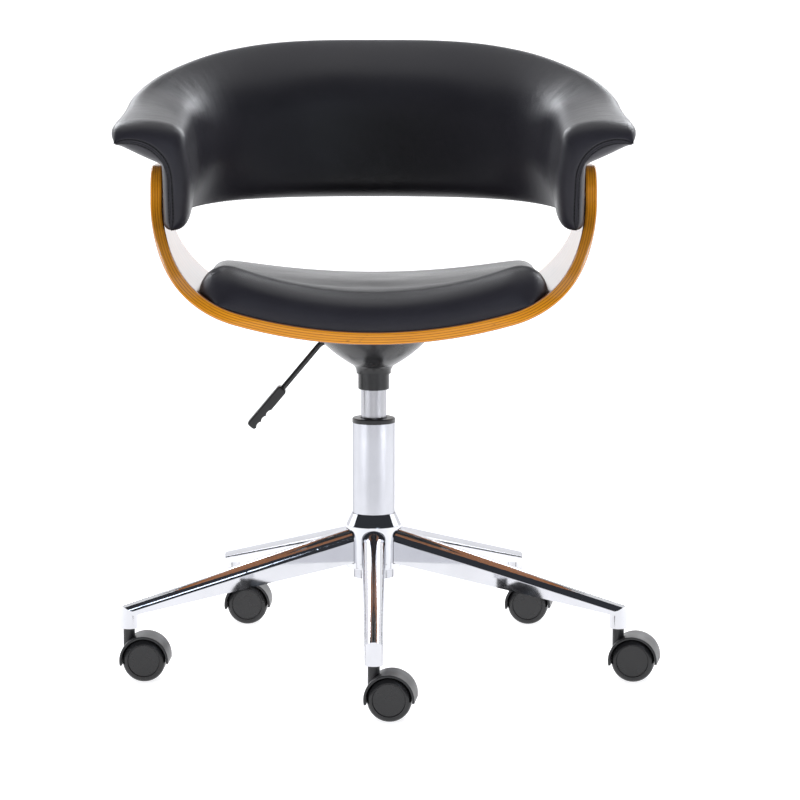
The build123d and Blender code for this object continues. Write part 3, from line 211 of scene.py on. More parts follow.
cool = (0.94, 0.96, 1.0)
for name, side in (("left", -1), ("right", 1)):
    soft_box(f"box_{name}", (side * 2.3, 0.9, 1.3), (0, 0, 0.55), 1.3, 1.8, 14, cool)
    soft_box(f"rim_{name}", (side * 1.35, 1.9, 2.15), (0, 0.1, 0.6), 1.4, 1.2, 42, cool)
    fill = soft_box(f"front_{name}", (side * 2.2, -1.6, 0.55), (0, -0.1, 0.55), 0.9, 0.6, 58, cool)
    fill.visible_glossy = False
soft_box("box_above", (0.0, 0.3, 2.6), (0, 0.05, 0.5), 2.6, 2.0, 15)
soft_box("box_low", (0.0, -3.4, 0.30), (0, 0, 0.5), 1.8, 0.3, 3)
soft_box("lamp_front", (0.9, -3.0, 1.55), (0, 0.1, 0.6), 0.6, 0.6, 3.5, (0.74, 0.84, 1.0))
scene.view_settings.view_transform = "Standard"
scene.view_settings.look = "None"

# %% [markdown]
# ## Shared effects
# Several finishes need the same small things: a leather pebble, a faint cloud of wear, the layers of
# the plywood. Each is built once as a node group that puts out nothing but values, so every
# material can place it with its own numbers and keep its shader to itself.


# %% Node groups
def group(name, takes, gives):
    """An empty node group with named inputs and outputs, each given as (name, kind, value)."""
    tree = bpy.data.node_groups.new(name, "ShaderNodeTree")
    for label, kind, value in takes:
        socket = tree.interface.new_socket(label, in_out="INPUT", socket_type=f"NodeSocket{kind}")
        if value is not None:
            socket.default_value = value
    for label, kind in gives:
        tree.interface.new_socket(label, in_out="OUTPUT", socket_type=f"NodeSocket{kind}")
    return tree, tree.nodes.new("NodeGroupInput").outputs, tree.nodes.new("NodeGroupOutput").inputs


def math(tree, operation, a, b=0.0, clamp=False):
    """One arithmetic step on numbers or sockets."""
    return add(tree, "ShaderNodeMath", {"operation": operation, "use_clamp": clamp}, i0=a, i1=b).outputs[0]


def mixed(tree, share, a, b):
    """Colour a turning into colour b by a share."""
    return add(tree, "ShaderNodeMix", {"data_type": "RGBA"}, i0=share, i6=a, i7=b).outputs[2]


def noise(tree, where, scale, detail=2.0, rough=0.5):
    """A cloud value from 0 to 1 at a place."""
    made = add(tree, "ShaderNodeTexNoise", None, Vector=where, Scale=scale, Detail=detail, Roughness=rough)
    return made.outputs[0]


def stretched(tree, where, size):
    """A place with each direction scaled by its own number."""
    return add(tree, "ShaderNodeMapping", None, Vector=where, Scale=size).outputs[0]


def span(tree, value, low, high, to_low=0.0, to_high=1.0):
    """A value moved from one span to another and held inside it."""
    return add(tree, "ShaderNodeMapRange", None, i0=value, i1=low, i2=high, i3=to_low, i4=to_high).outputs[0]


pebble, take, give = group(
    "leather_pebble",
    [("Place", "Vector", None), ("Cells", "Float", 700.0)],
    [("Height", "Float"), ("Cloud", "Float")],
)
warp = add(pebble, "ShaderNodeTexNoise", None, Vector=take["Place"], Scale=160.0, Detail=1.0)
blend = {"data_type": "VECTOR"}
bent = add(pebble, "ShaderNodeMix", blend, i0=0.0025, i4=take["Place"], i5=warp.outputs[1])
to_edge = {"feature": "DISTANCE_TO_EDGE"}
edges = add(pebble, "ShaderNodeTexVoronoi", to_edge, Vector=bent.outputs[1], Scale=take["Cells"])
domes = span(pebble, edges.outputs[0], 0.0, 0.28)
pores = noise(pebble, take["Place"], 2600.0, 2.0)
pebble.links.new(math(pebble, "ADD", domes, math(pebble, "MULTIPLY", pores, 0.35)), give["Height"])
pebble.links.new(noise(pebble, take["Place"], 14.0, 3.0), give["Cloud"])

wear, take, give = group(
    "handling_marks",
    [("Place", "Vector", None), ("Size", "Float", 20.0)],
    [("Cloud", "Float"), ("Fine", "Float")],
)
wear.links.new(span(wear, noise(wear, take["Place"], take["Size"], 4.0, 0.6), 0.3, 0.7), give["Cloud"])
wear.links.new(noise(wear, stretched(wear, take["Place"], (900, 900, 260)), 1.0, 3.0, 0.6), give["Fine"])
print("node groups", [g.name for g in bpy.data.node_groups])

# %% [markdown]
# ## How deep a point lies in the bent plywood
# The hoop's cut edge shows its layers, so the material must know how far a point is from the outer
# face. The hoop is three tangent runs: a shallow arc under the seat, a tight arc at each corner and a
# straight arm. The distance to each run's own centre gives the depth there, and the place picks the
# run. An unwrapped map would do the same, but the formula follows the CAD solid exactly.

# %% Depth and length along the hoop
seat_z, seat_tilt = 0.3968, radians(3.0)
ply, bottom_r, corner_r, turn = 0.014, 0.576, 0.1385, radians(15.9)
corner_x = (bottom_r - corner_r) * sin(turn)
corner_z = bottom_r - (bottom_r - corner_r) * cos(turn)
outer_x = corner_x + corner_r

layers, take, give = group(
    "hoop_place",
    [("Place", "Vector", None)],
    [("Depth", "Float"), ("Along", "Float"), ("Across", "Float")],
)
untilt, origin = (seat_tilt, 0, 0), (0, seat_z * sin(seat_tilt), -seat_z * cos(seat_tilt))
level = add(layers, "ShaderNodeMapping", None, Vector=take["Place"], Rotation=untilt, Location=origin)
parts = add(layers, "ShaderNodeSeparateXYZ", None, i0=level.outputs[0]).outputs
x, z = math(layers, "ABSOLUTE", parts[0]), parts[2]


def radius(tree, a, b):
    """The length of a flat vector."""
    return math(tree, "SQRT", math(tree, "ADD", math(tree, "POWER", a, 2.0), math(tree, "POWER", b, 2.0)))


def chosen(tree, share, a, b):
    """Value a where the share is 0 and value b where it is 1."""
    return math(tree, "ADD", a, math(tree, "MULTIPLY", share, math(tree, "SUBTRACT", b, a)))


drop = math(layers, "SUBTRACT", bottom_r, z)
side_x = math(layers, "SUBTRACT", x, corner_x)
side_z = math(layers, "SUBTRACT", corner_z, z)
deep_bottom = math(layers, "SUBTRACT", bottom_r, radius(layers, x, drop))
deep_corner = math(layers, "SUBTRACT", corner_r, radius(layers, side_x, side_z))
deep_arm = math(layers, "SUBTRACT", outer_x, x)
long_bottom = math(layers, "MULTIPLY", bottom_r, math(layers, "ARCTAN2", x, drop))
long_corner = math(layers, "MULTIPLY", corner_r, math(layers, "ARCTAN2", side_x, side_z))
long_corner = math(layers, "ADD", long_corner, (bottom_r - corner_r) * turn)
long_arm = math(layers, "SUBTRACT", bottom_r * turn + corner_r * (pi / 2 - turn), side_z)
past_bottom = math(layers, "GREATER_THAN", x, math(layers, "MULTIPLY", drop, tan(turn)))
on_arm = math(layers, "GREATER_THAN", z, corner_z)
deep = chosen(layers, on_arm, chosen(layers, past_bottom, deep_bottom, deep_corner), deep_arm)
long = chosen(layers, on_arm, chosen(layers, past_bottom, long_bottom, long_corner), long_arm)
layers.links.new(math(layers, "DIVIDE", deep, ply), give["Depth"])
layers.links.new(math(layers, "MULTIPLY", long, math(layers, "SIGN", parts[0])), give["Along"])
layers.links.new(parts[1], give["Across"])
print("hoop: outer half width", round(outer_x, 4), "corner height", round(corner_z, 4))

# %% [markdown]
# ## Finishes
# Each finish is one material. What is the same all over sits on the shader itself; what changes over
# the surface comes from the groups: a pebble and faint clouds for the leather, glue lines and grain
# for the plywood, smudges for the chrome, moulding texture for the plastics.


# %% Leather
def place_of(tree):
    """The object's own coordinates, which are the frame's coordinates."""
    return add(tree, "ShaderNodeTexCoord").outputs["Object"]


def use(tree, shared, **values):
    """A shared group placed in a material."""
    return add(tree, "ShaderNodeGroup", {"node_tree": shared}, **values).outputs


def bump(tree, height, depth, before=None):
    """A normal from a height value, with the depth of a full step in metres."""
    made = add(tree, "ShaderNodeBump", None, Height=height, Distance=depth, Strength=1.0)
    if before is not None:
        tree.links.new(before, made.inputs["Normal"])
    return made.outputs[0]


def leather(name, gathers, rough):
    """Black coated leather, with shade painted dark along its stitch grooves; gathers adds fine folds across
    the piece's length.
    """
    finish, tree, main = shader(name)
    grain = use(tree, pebble, Place=place_of(tree), Cells=850.0)
    # Painted shade: the stitch groove's mask darkens the leather's colour there and also makes it duller.
    seam = add(tree, "ShaderNodeAttribute", {"attribute_name": "stitch_groove_shade"}).outputs["Fac"]
    shade = mixed(tree, grain["Cloud"], (0.0125, 0.0119, 0.0156, 1), (0.0180, 0.0172, 0.0224, 1))
    tree.links.new(mixed(tree, seam, shade, (0.001, 0.001, 0.001, 1)), main.inputs["Base Color"])
    dull = math(tree, "MULTIPLY", seam, 0.6)
    worn = span(tree, grain["Cloud"], 0.25, 0.75, rough, rough + 0.1)
    tree.links.new(math(tree, "ADD", worn, dull, True), main.inputs["Roughness"])
    normal = bump(tree, grain["Height"], 0.00005)
    if gathers:
        mask = add(tree, "ShaderNodeAttribute", {"attribute_name": "gather"}).outputs["Fac"]
        chart = add(tree, "ShaderNodeUVMap", {"uv_map": "length_and_girth"}).outputs[0]
        folds = noise(tree, stretched(tree, chart, (75, 20, 1)), 1.0, 2.0, 0.5)
        normal = bump(tree, math(tree, "MULTIPLY", folds, mask), 0.0007, normal)
    tree.links.new(normal, main.inputs["Normal"])
    main.inputs["Specular IOR Level"].default_value = 0.5
    main.inputs["Coat Weight"].default_value = 0.06
    main.inputs["Coat Roughness"].default_value = 0.25
    return finish


cover_leather = leather("cover_leather", True, 0.36)
seat_leather = leather("seat_leather", False, 0.30)

# %% Plywood
ply_layers = 5.0


def plywood(name, bent):
    """Lacquered plywood: amber layers with thin glue lines at the edge, warm veneer on both faces."""
    finish, tree, main = shader(name)
    where = place_of(tree)
    if bent:
        spot = use(tree, layers, Place=where)
        depth = spot["Depth"]
        joined = add(tree, "ShaderNodeCombineXYZ", None, i0=spot["Along"], i1=spot["Across"], i2=depth)
        chart = joined.outputs[0]
        in_layer = math(tree, "FRACT", math(tree, "MULTIPLY", depth, ply_layers))
        glue = math(tree, "ABSOLUTE", math(tree, "SUBTRACT", in_layer, 0.5))
        wave = noise(tree, stretched(tree, chart, (9, 9, 3)), 1.0, 2.0)
        line = span(tree, math(tree, "ADD", glue, math(tree, "MULTIPLY", wave, 0.06)), 0.40, 0.50)
        outer = math(tree, "GREATER_THAN", math(tree, "ABSOLUTE", math(tree, "SUBTRACT", depth, 0.5)), 0.435)
        fleck = span(tree, noise(tree, stretched(tree, chart, (60, 40, 5)), 1.0, 3.0, 0.7), 0.66, 0.74)
        streak = noise(tree, stretched(tree, chart, (26, 900, 14)), 1.0, 3.0, 0.6)
        edge = mixed(tree, streak, (0.43, 0.150, 0.005, 1), (0.60, 0.250, 0.014, 1))
        edge = mixed(tree, math(tree, "MULTIPLY", line, 0.92), edge, (0.09, 0.026, 0.004, 1))
        edge = mixed(tree, math(tree, "MULTIPLY", fleck, 0.6), edge, (0.08, 0.026, 0.006, 1))
        fibre = noise(tree, stretched(tree, chart, (5, 130, 1)), 1.0, 5.0, 0.62)
        flow = stretched(tree, chart, (0.35, 9, 0))
        across = {"bands_direction": "Y"}
        rings = add(tree, "ShaderNodeTexWave", across, Vector=flow, Scale=1.0, Distortion=5.0, Detail=3.0)
        veneer = mixed(tree, fibre, (0.16, 0.052, 0.014, 1), (0.36, 0.135, 0.038, 1))
        veneer = mixed(tree, math(tree, "MULTIPLY", rings.outputs[1], 0.35), veneer, (0.12, 0.04, 0.012, 1))
        tone = mixed(tree, outer, edge, veneer)
        tree.links.new(span(tree, outer, 0.0, 1.0, 0.22, 0.6), main.inputs["Coat Weight"])
        main.inputs["Specular IOR Level"].default_value = 0.3
        height = math(tree, "SUBTRACT", fibre, math(tree, "MULTIPLY", line, 0.5))
    else:
        fibre = noise(tree, stretched(tree, where, (6, 130, 130)), 1.0, 5.0, 0.62)
        tone = mixed(tree, fibre, (0.33, 0.20, 0.09, 1), (0.55, 0.38, 0.20, 1))
        height = fibre
    tree.links.new(tone, main.inputs["Base Color"])
    tree.links.new(span(tree, fibre, 0.2, 0.8, 0.27, 0.31), main.inputs["Roughness"])
    tree.links.new(bump(tree, height, 0.00001), main.inputs["Normal"])
    main.inputs["Coat Roughness"].default_value = 0.12
    return finish


hoop_ply = plywood("hoop_ply", True)
plain_ply = plywood("plain_ply", False)


# %% Metals, plastics and rubber
def metal(name, tone, rough, spread, brushed=0.0, rim=1.0):
    """Bare or plated metal with faint smudges; brushed adds fine lines, rim darkens it at a glancing view."""
    finish, tree, main = shader(name)
    marks = use(tree, wear, Place=place_of(tree), Size=16.0)
    dim = tuple(0.93 * v for v in tone)
    tree.links.new(mixed(tree, marks["Cloud"], (*tone, 1), (*dim, 1)), main.inputs["Base Color"])
    tree.links.new(span(tree, marks["Cloud"], 0.0, 1.0, rough, rough + spread), main.inputs["Roughness"])
    if brushed:
        tree.links.new(bump(tree, marks["Fine"], brushed), main.inputs["Normal"])
    main.inputs["Metallic"].default_value = 1.0
    main.inputs["Specular Tint"].default_value = (rim, rim, 1.03 * rim, 1)
    return finish


def plastic(name, dark, light, rough, spread, depth):
    """Moulded or painted black with a fine texture and slight handling marks."""
    finish, tree, main = shader(name)
    marks = use(tree, wear, Place=place_of(tree), Size=30.0)
    tree.links.new(mixed(tree, marks["Cloud"], (*dark, 1), (*light, 1)), main.inputs["Base Color"])
    tree.links.new(span(tree, marks["Cloud"], 0.0, 1.0, rough, rough + spread), main.inputs["Roughness"])
    tree.links.new(bump(tree, marks["Fine"], depth), main.inputs["Normal"])
    return finish


finishes = {
    "chrome": metal("chrome", (0.70, 0.705, 0.735), 0.035, 0.05, rim=0.8),
    "steel": metal("steel", (0.62, 0.62, 0.63), 0.24, 0.12, 0.00002),
    "plywood": plain_ply,
    "leather": seat_leather,
}
blacks = (
    ("black_paint", (0.006, 0.006, 0.0065), (0.011, 0.011, 0.0115), 0.18, 0.12, 0.00001),
    ("black_plastic", (0.008, 0.008, 0.0085), (0.014, 0.014, 0.0145), 0.26, 0.12, 0.00002),
    ("caster_plastic", (0.010, 0.010, 0.0108), (0.018, 0.018, 0.019), 0.34, 0.14, 0.00003),
    ("wheel_plastic", (0.006, 0.006, 0.0064), (0.011, 0.011, 0.0116), 0.20, 0.12, 0.00002),
    ("rubber", (0.012, 0.012, 0.012), (0.02, 0.02, 0.02), 0.62, 0.12, 0.00004),
)
finishes.update((black[0], plastic(*black)) for black in blacks)
own = {
    "seat_hoop": hoop_ply,
    "column_tube": metal("satin_chrome", (0.58, 0.585, 0.62), 0.16, 0.06, rim=0.5),
    "gas_cylinder": metal("ground_steel", (0.50, 0.50, 0.525), 0.20, 0.08, 0.00001, 0.6),
}
for part in frame["record"]["subparts"]:
    shown = nodes[part["node"]]
    finish = own.get(part["node"], finishes[part["material_slot"]])
    if not shown.material_slots:
        shown.data.materials.append(finish)
    for holder in shown.material_slots:
        holder.material = finish
print("finishes", sorted(finishes))

# %% [markdown]
# ## The backrest's plan and sections
# The back and both arms are one padded band. Seen from above it is a shallow arc, two tight arcs and
# two straight arms. An upright section rides along that line and changes on the way: tall and leaning
# at the back, low and nearly upright at the arms, with a lip that flares outward. The section's sizes
# run smoothly between a few rows, which follow the frame's own sizes.

# %% Plan and rows of sizes
wrap_half, wrap_r, wrap_y, wrap_turn, arm_run = 0.23197, 0.130, 0.045, radians(22.0), 0.150
shell_stop, nose = 0.020, 0.026
wrap_x = wrap_half - wrap_r
back_r = wrap_r + wrap_x / sin(wrap_turn)
back_y = wrap_y - wrap_x / tan(wrap_turn)
back_len, bend_len = back_r * wrap_turn, wrap_r * (pi / 2 - wrap_turn)
wrap_len = back_len + bend_len + arm_run
arm_len = wrap_len - nose
lip_half, edge_r, edge_turn = 0.010, 0.018, radians(72.0)
lip_deep, lip_settle, bend_drop = 0.8 * lip_half, 0.3 * lip_half, 0.016

# Distance; heights of foot and lip; reach; lean, nod; heights of both bends; front and back thickness;
# crown on the lip; how square the front bend is
rows = np.array([
    (0.0, 144.0, 332.5, 55.0, 8.0, 44.0, 253.0, 243.0, 19.0, 14.0, 0.0, 0.06),
    (back_len * 1000, 143.0, 323.5, 54.0, 7.5, 40.0, 241.0, 234.0, 19.0, 14.0, 0.0, 0.06),
    ((back_len + bend_len / 2) * 1000, 139.0, 298.0, 54.0, 5.0, 29.0, 237.0, 222.0, 19.0, 12.0, 1.0, 0.3),
    ((back_len + bend_len) * 1000, 134.0, 267.0, 58.0, 1.4, 14.0, 239.0, 215.0, 19.0, 9.8, 4.0, 0.9),
    ((wrap_len - shell_stop) * 1000, 129.0, 242.0, 68.0, 1.4, 0.0, 232.0, 204.0, 19.0, 9.8, 10.0, 1.0),
    (wrap_len * 1000, 129.0, 239.5, 69.0, 1.4, -2.0, 230.0, 202.0, 19.0, 9.8, 10.0, 1.0),
])
unit = np.full(12, 0.001)
unit[[4, 5]], unit[11] = pi / 180, 1.0
rows = rows * unit
rows[:, [1, 2, 6, 7]] += seat_z


def plan(s):
    """Place and outward direction at distance s from the middle of the back, mirrored left and right."""
    run, side = np.abs(s), np.where(s < 0, -1.0, 1.0)
    back = run <= back_len
    a = np.where(back, run / back_r, np.minimum(wrap_turn + (run - back_len) / wrap_r, pi / 2))
    x = np.where(back, back_r * np.sin(a), wrap_x + wrap_r * np.sin(a))
    y = np.where(back, back_y + back_r * np.cos(a), wrap_y + wrap_r * np.cos(a))
    return side * x, y - np.maximum(run - back_len - bend_len, 0), side * np.sin(a), np.cos(a)


def sizes_at(s):
    """The section's eleven sizes at distance s: a smooth curve through the rows that never overshoots."""
    run, knots, values = np.clip(np.abs(s), 0, wrap_len), rows[:, 0], rows[:, 1:]
    step = np.diff(values, axis=0) / np.diff(knots)[:, None]
    slope = np.zeros_like(values)
    slope[1:-1] = np.where(step[:-1] * step[1:] > 0, (step[:-1] + step[1:]) / 2, 0)
    slope[-1] = step[-1]
    i = np.clip(np.searchsorted(knots, run, side="right") - 1, 0, len(knots) - 2)
    h = (knots[i + 1] - knots[i])[:, None]
    t = (run - knots[i])[:, None] / h
    level = values[i] * (1 + 2 * t) * (1 - t) ** 2 + values[i + 1] * t * t * (3 - 2 * t)
    return (level + h * t * (1 - t) * (slope[i] * (1 - t) - slope[i + 1] * t)).T


print("backrest: half length", round(wrap_len, 4), "of which arm", arm_run)


# %% Lines and arcs as arrays
def conic(a, corner, b, weight, count):
    """Points from a to b pulled to a corner: (1-t)^2 a + 2wt(1-t) corner + t^2 b, over the weights' sum."""
    t = np.linspace(0, 1, count)[None, :, None]
    a, corner, b, w = a[:, None], corner[:, None], b[:, None], weight[:, None, None]
    first, pull, last = (1 - t) ** 2, 2 * w * t * (1 - t), t**2
    return (first * a + pull * corner + last * b) / (first + pull + last)


def arc_through(a, m, b, count):
    """The circle's arc from a over its middle m to b."""
    mid, half = (a + b) / 2, np.linalg.norm(b - a, axis=1) / 2
    rise = np.linalg.norm(m - mid, axis=1)
    turn_half = 2 * np.arctan(rise / half)
    return conic(a, mid + (m - mid) * (half * np.tan(turn_half) / rise)[:, None], b, np.cos(turn_half), count)


def arc_leaving(a, way, b, count):
    """The circle's arc from a, leaving in a direction, to b."""
    chord = b - a
    reach = (chord**2).sum(1) / (2 * (chord * way).sum(1))
    return conic(a, a + way * reach[:, None], b, np.linalg.norm(chord, axis=1) / 2 / reach, count)


def straight(a, b, count):
    """Evenly spaced points from a to b."""
    return a[:, None] + (b - a)[:, None] * np.linspace(0, 1, count)[None, :, None]


def evened(line, share):
    """Each row's line taken at shares of its own length; share is one row for all, or one row each."""
    reach = np.cumsum(np.linalg.norm(np.diff(line, axis=1, prepend=line[:, :1]), axis=2), axis=1)
    share = np.broadcast_to(share, (len(line), np.shape(share)[-1]))
    each = zip(share, reach, line)
    taken = [[np.interp(q, far / far[-1], p[:, k]) for k in range(p.shape[1])] for q, far, p in each]
    return np.moveaxis(np.array(taken), 1, 2), reach[:, -1]


def relaxed(line, passes):
    """Rounds a row's corners: each inner point moves halfway to the middle of its neighbours."""
    for _ in range(passes):
        line[:, 1:-1] = (line[:, :-2] + 2 * line[:, 1:-1] + line[:, 2:]) / 4
    return line


def bell(value, centre, width):
    """A soft hump: 1 at the centre, falling as a Gauss curve."""
    return np.exp(-(((value - centre) / width) ** 2))


def ramp(value, low, high):
    """A smooth step from 0 to 1 between two values."""
    t = np.clip((value - low) / (high - low), 0, 1)
    return t * t * (3 - 2 * t)


def pair(x, y):
    """Two arrays as one array of flat points."""
    return np.stack(np.broadcast_arrays(x, y), axis=-1)


# %% The section's outline
# How the crown on the lip moves the tip in, bows the lip, hollows the back and thins the lip behind
tip_in, crown_bow, crown_hollow, crown_thin = 0.35, 0.50, 0.42, 45.0
lip_bow, lip_lift, back_hollow = 0.24, 0.35, 0.003
heel_in, front_heel_up, back_heel_up = 0.22, 0.20, 0.18
# The arm's inner bulge, the roll under the lower edge in the corners, and the rounding away from seams
arm_bulge, bulge_z, bulge_half = 0.0045, seat_z + 0.187, 0.032
corner_roll, corner_half, roll_height = 0.72, 0.085, 0.06
front_passes, back_passes, seam_firm, seam_soft = 34, 14, 0.004, 0.020
outline_points = 161


def outlines(s, front):
    """The skin's outline from the lower seam to the lip's seam, and the seam's own middle line, at each s."""
    bottom, lip, reach, lean, nod, wall, under, inner, outer, crown, square = sizes_at(s)
    foot = pair(0 * bottom, bottom)
    up = pair(np.sin(lean), np.cos(lean))
    core = pair(reach - lip_deep * np.cos(nod), lip - lip_half * np.cos(nod) - lip_settle * np.sin(nod))
    top = lip_half * pair(-np.sin(nod), np.cos(nod))
    forth = pair(np.cos(nod), np.sin(nod))
    tip = core + (lip_deep - tip_in * crown)[:, None] * forth
    bend = pair((under - bend_drop - bottom) * np.tan(lean), under - bend_drop)
    flare = arc_leaving(bend, up, core, 60)[:, 1:]
    middle = np.concatenate([straight(foot, bend, 40), flare, straight(core, tip, 20)[:, 1:]], axis=1)
    if front:
        heel = pair(-inner, bottom + inner)
        knee = pair(-inner + (wall - heel[:, 1]) * np.tan(lean), wall)
        soft = pair(heel[:, 0] + heel_in * inner, bottom + front_heel_up * inner)
        over = core + top * (1 + crown / lip_half)[:, None]
        across, chord = pair(np.cos(lean), -np.sin(lean)), over - knee
        side, rise = (chord * across).sum(1), (chord * up).sum(1)
        size, swing = (chord**2).sum(1) / (2 * side), np.arctan2(side, rise)
        size, swing = size + (edge_r - size) * square, swing + (edge_turn - swing) * square
        crest = knee + across * (size * (1 - np.cos(swing)))[:, None] + up * (size * np.sin(swing))[:, None]
        onward = up * np.cos(swing)[:, None] + across * np.sin(swing)[:, None]
        bow = (lip_bow * lip_half + crown_bow * crown)[:, None]
        brow = (over + tip) / 2 + bow * forth + lip_lift * bow * top / lip_half
        skin = [arc_through(foot, soft, heel, 30), straight(heel, knee, 40), arc_leaving(knee, up, crest, 30)]
        skin += [arc_leaving(crest, onward, over, 50), arc_through(over, brow, tip, 24)]
    else:
        heel = pair(outer, bottom + outer)
        knee = pair(outer + (under - heel[:, 1]) * np.tan(lean), under)
        soft = pair(heel[:, 0] - heel_in * outer, bottom + back_heel_up * outer)
        over = core - top * (1 - crown_thin * crown)[:, None]
        chord = over - knee
        side = pair(-chord[:, 1], chord[:, 0]) / np.linalg.norm(chord, axis=1)[:, None]
        brow = (over + tip) / 2 + lip_bow * lip_half * forth - lip_bow / 2 * top
        hollow = (knee + over) / 2 + (back_hollow - crown_hollow * crown)[:, None] * side
        skin = [arc_through(foot, soft, heel, 24), straight(heel, knee, 40)]
        skin += [arc_through(knee, hollow, over, 60), arc_through(over, brow, tip, 24)]
    skin = np.concatenate([p if k == 0 else p[:, 1:] for k, p in enumerate(skin)], axis=1)
    even = np.linspace(0, 1, outline_points)
    skin, length = evened(skin, even)
    if front:
        arm = ramp(np.abs(s), back_len + 0.5 * bend_len, back_len + bend_len)[:, None]
        skin[..., 0] -= arm_bulge * arm * bell(skin[..., 1], bulge_z, bulge_half)
        corner = bell(np.abs(s), back_len + 0.55 * bend_len, corner_half)[:, None]
        low = 1 - ramp(skin[..., 1] - bottom[:, None], 0.0, roll_height)
        skin[..., 0] *= 1 - corner_roll * corner * low
    sharp, far = skin.copy(), np.minimum(even, 1 - even)[None] * length[:, None]
    rounded = relaxed(skin, front_passes if front else back_passes)
    skin = sharp + (rounded - sharp) * ramp(far, seam_firm, seam_soft)[..., None]
    skin, girth = evened(skin, even)
    middle, _ = evened(middle, even)
    return skin, middle, girth


# %% [markdown]
# ## Stuffing a cover
# Real covers are cut a little small and pulled over foam, so between its seams the leather swells.
# Cloth physics gives that shape: a coarse copy of the cover becomes cloth, its seams are held, and a
# light pressure blows it up for twenty frames. Only the movement is kept, with a cap, and is laid back
# on the fine cover, so its seam lines stay crisp.

# %% Cloth swelling
cloth_frames, smooth_passes = 20, 30


def swollen(points, held, pressure, cap):
    """How far each point of a grid moves as it swells as cloth: held points stay, a cap limits the rest."""
    trial = make_piece("cloth_trial", points, cells_of(*points.shape[:2]))
    grip = trial.vertex_groups.new(name="held")
    grip.add(np.flatnonzero(held.ravel()).tolist(), 1.0, "REPLACE")
    cloth = trial.modifiers.new("cloth", "CLOTH")
    cloth.settings.quality = 6
    cloth.settings.mass = 0.25
    cloth.settings.tension_stiffness = cloth.settings.compression_stiffness = 25
    cloth.settings.shear_stiffness = 8
    cloth.settings.bending_stiffness = 1.2
    cloth.settings.use_pressure = True
    cloth.settings.uniform_pressure_force = pressure
    cloth.settings.vertex_group_mass = "held"
    cloth.settings.effector_weights.gravity = 0.0
    cloth.collision_settings.use_collision = False
    for step in range(1, cloth_frames + 1):
        scene.frame_set(step)
    shaped = trial.evaluated_get(bpy.context.evaluated_depsgraph_get())
    flat = np.empty(points.size, np.float32)
    shaped.data.vertices.foreach_get("co", flat)
    scene.frame_set(1)
    bpy.data.objects.remove(trial)
    facing = normals_of(points)
    swell = np.maximum(((flat.reshape(points.shape) - points) * facing).sum(-1), 0)
    for _ in range(smooth_passes):
        near = swell[:-2, 1:-1] + swell[2:, 1:-1] + swell[1:-1, :-2] + swell[1:-1, 2:]
        swell[1:-1, 1:-1] = (near + 4 * swell[1:-1, 1:-1]) / 8
    return facing * (cap * np.tanh(swell / np.maximum(cap, 1e-6)))[..., None]


def spread(field, from_rows, from_cols, to_rows, to_cols):
    """A coarse grid's field read at the rows and columns of a fine grid."""
    across = np.stack([[np.interp(to_cols[0], from_cols, r[:, k]) for r in field] for k in range(3)], axis=-1)
    columns = across.swapaxes(0, 1)
    down = np.stack([[np.interp(to_rows, from_rows, c[:, k]) for c in columns] for k in range(3)], axis=-1)
    return down.swapaxes(0, 1)


# %% [markdown]
# ## Front and back covers
# Two leather covers meet in a seam that runs along the lip, down the middle of each arm's end and back
# along the lower edge. Each cover dips into the seam, and a row of stitches beside it draws a shallow
# groove, darkened by painted shade. The arm's end is rounded by shrinking the section towards the seam on a
# super-ellipse.

# %% Cover surfaces
edge_steps = np.array([0.0, 0.5, 1.0, 1.6, 2.2, 2.75, 3.3, 4.0, 5.2, 7.0, 9.5]) * 0.001
stitch_at, nose_power = 5, 2.1
nose_rows, nose_clear, front_deep, back_deep, opening_power = 12, 0.0125, 0.019, 0.009, 1.6
seam_tuck, seam_half, groove_tuck, groove_half, lining_share = 0.0005, 0.0009, 0.0006, 0.0008, 0.06
fine_rows, fine_cols, coarse_rows, coarse_cols, cover_pressure = 300, 64, 130, 38, 3.0


def nose_steps(depth):
    """How much of the section is left (1 to 0), and the way still to go, at rows before the end seam."""
    a = np.linspace(0, pi / 2, 400)
    on, left = np.sin(a) ** (2 / nose_power), np.cos(a) ** (2 / nose_power)
    reach = np.concatenate([[0], np.cumsum(np.hypot(np.diff(on) * nose, np.diff(left) * depth))])
    gone = reach[-1] - np.concatenate([np.linspace(reach[-1], nose_clear, nose_rows), edge_steps[::-1]])
    gone = np.clip(gone, 0, reach[-1])
    return np.interp(gone, reach, left), reach[-1] - gone


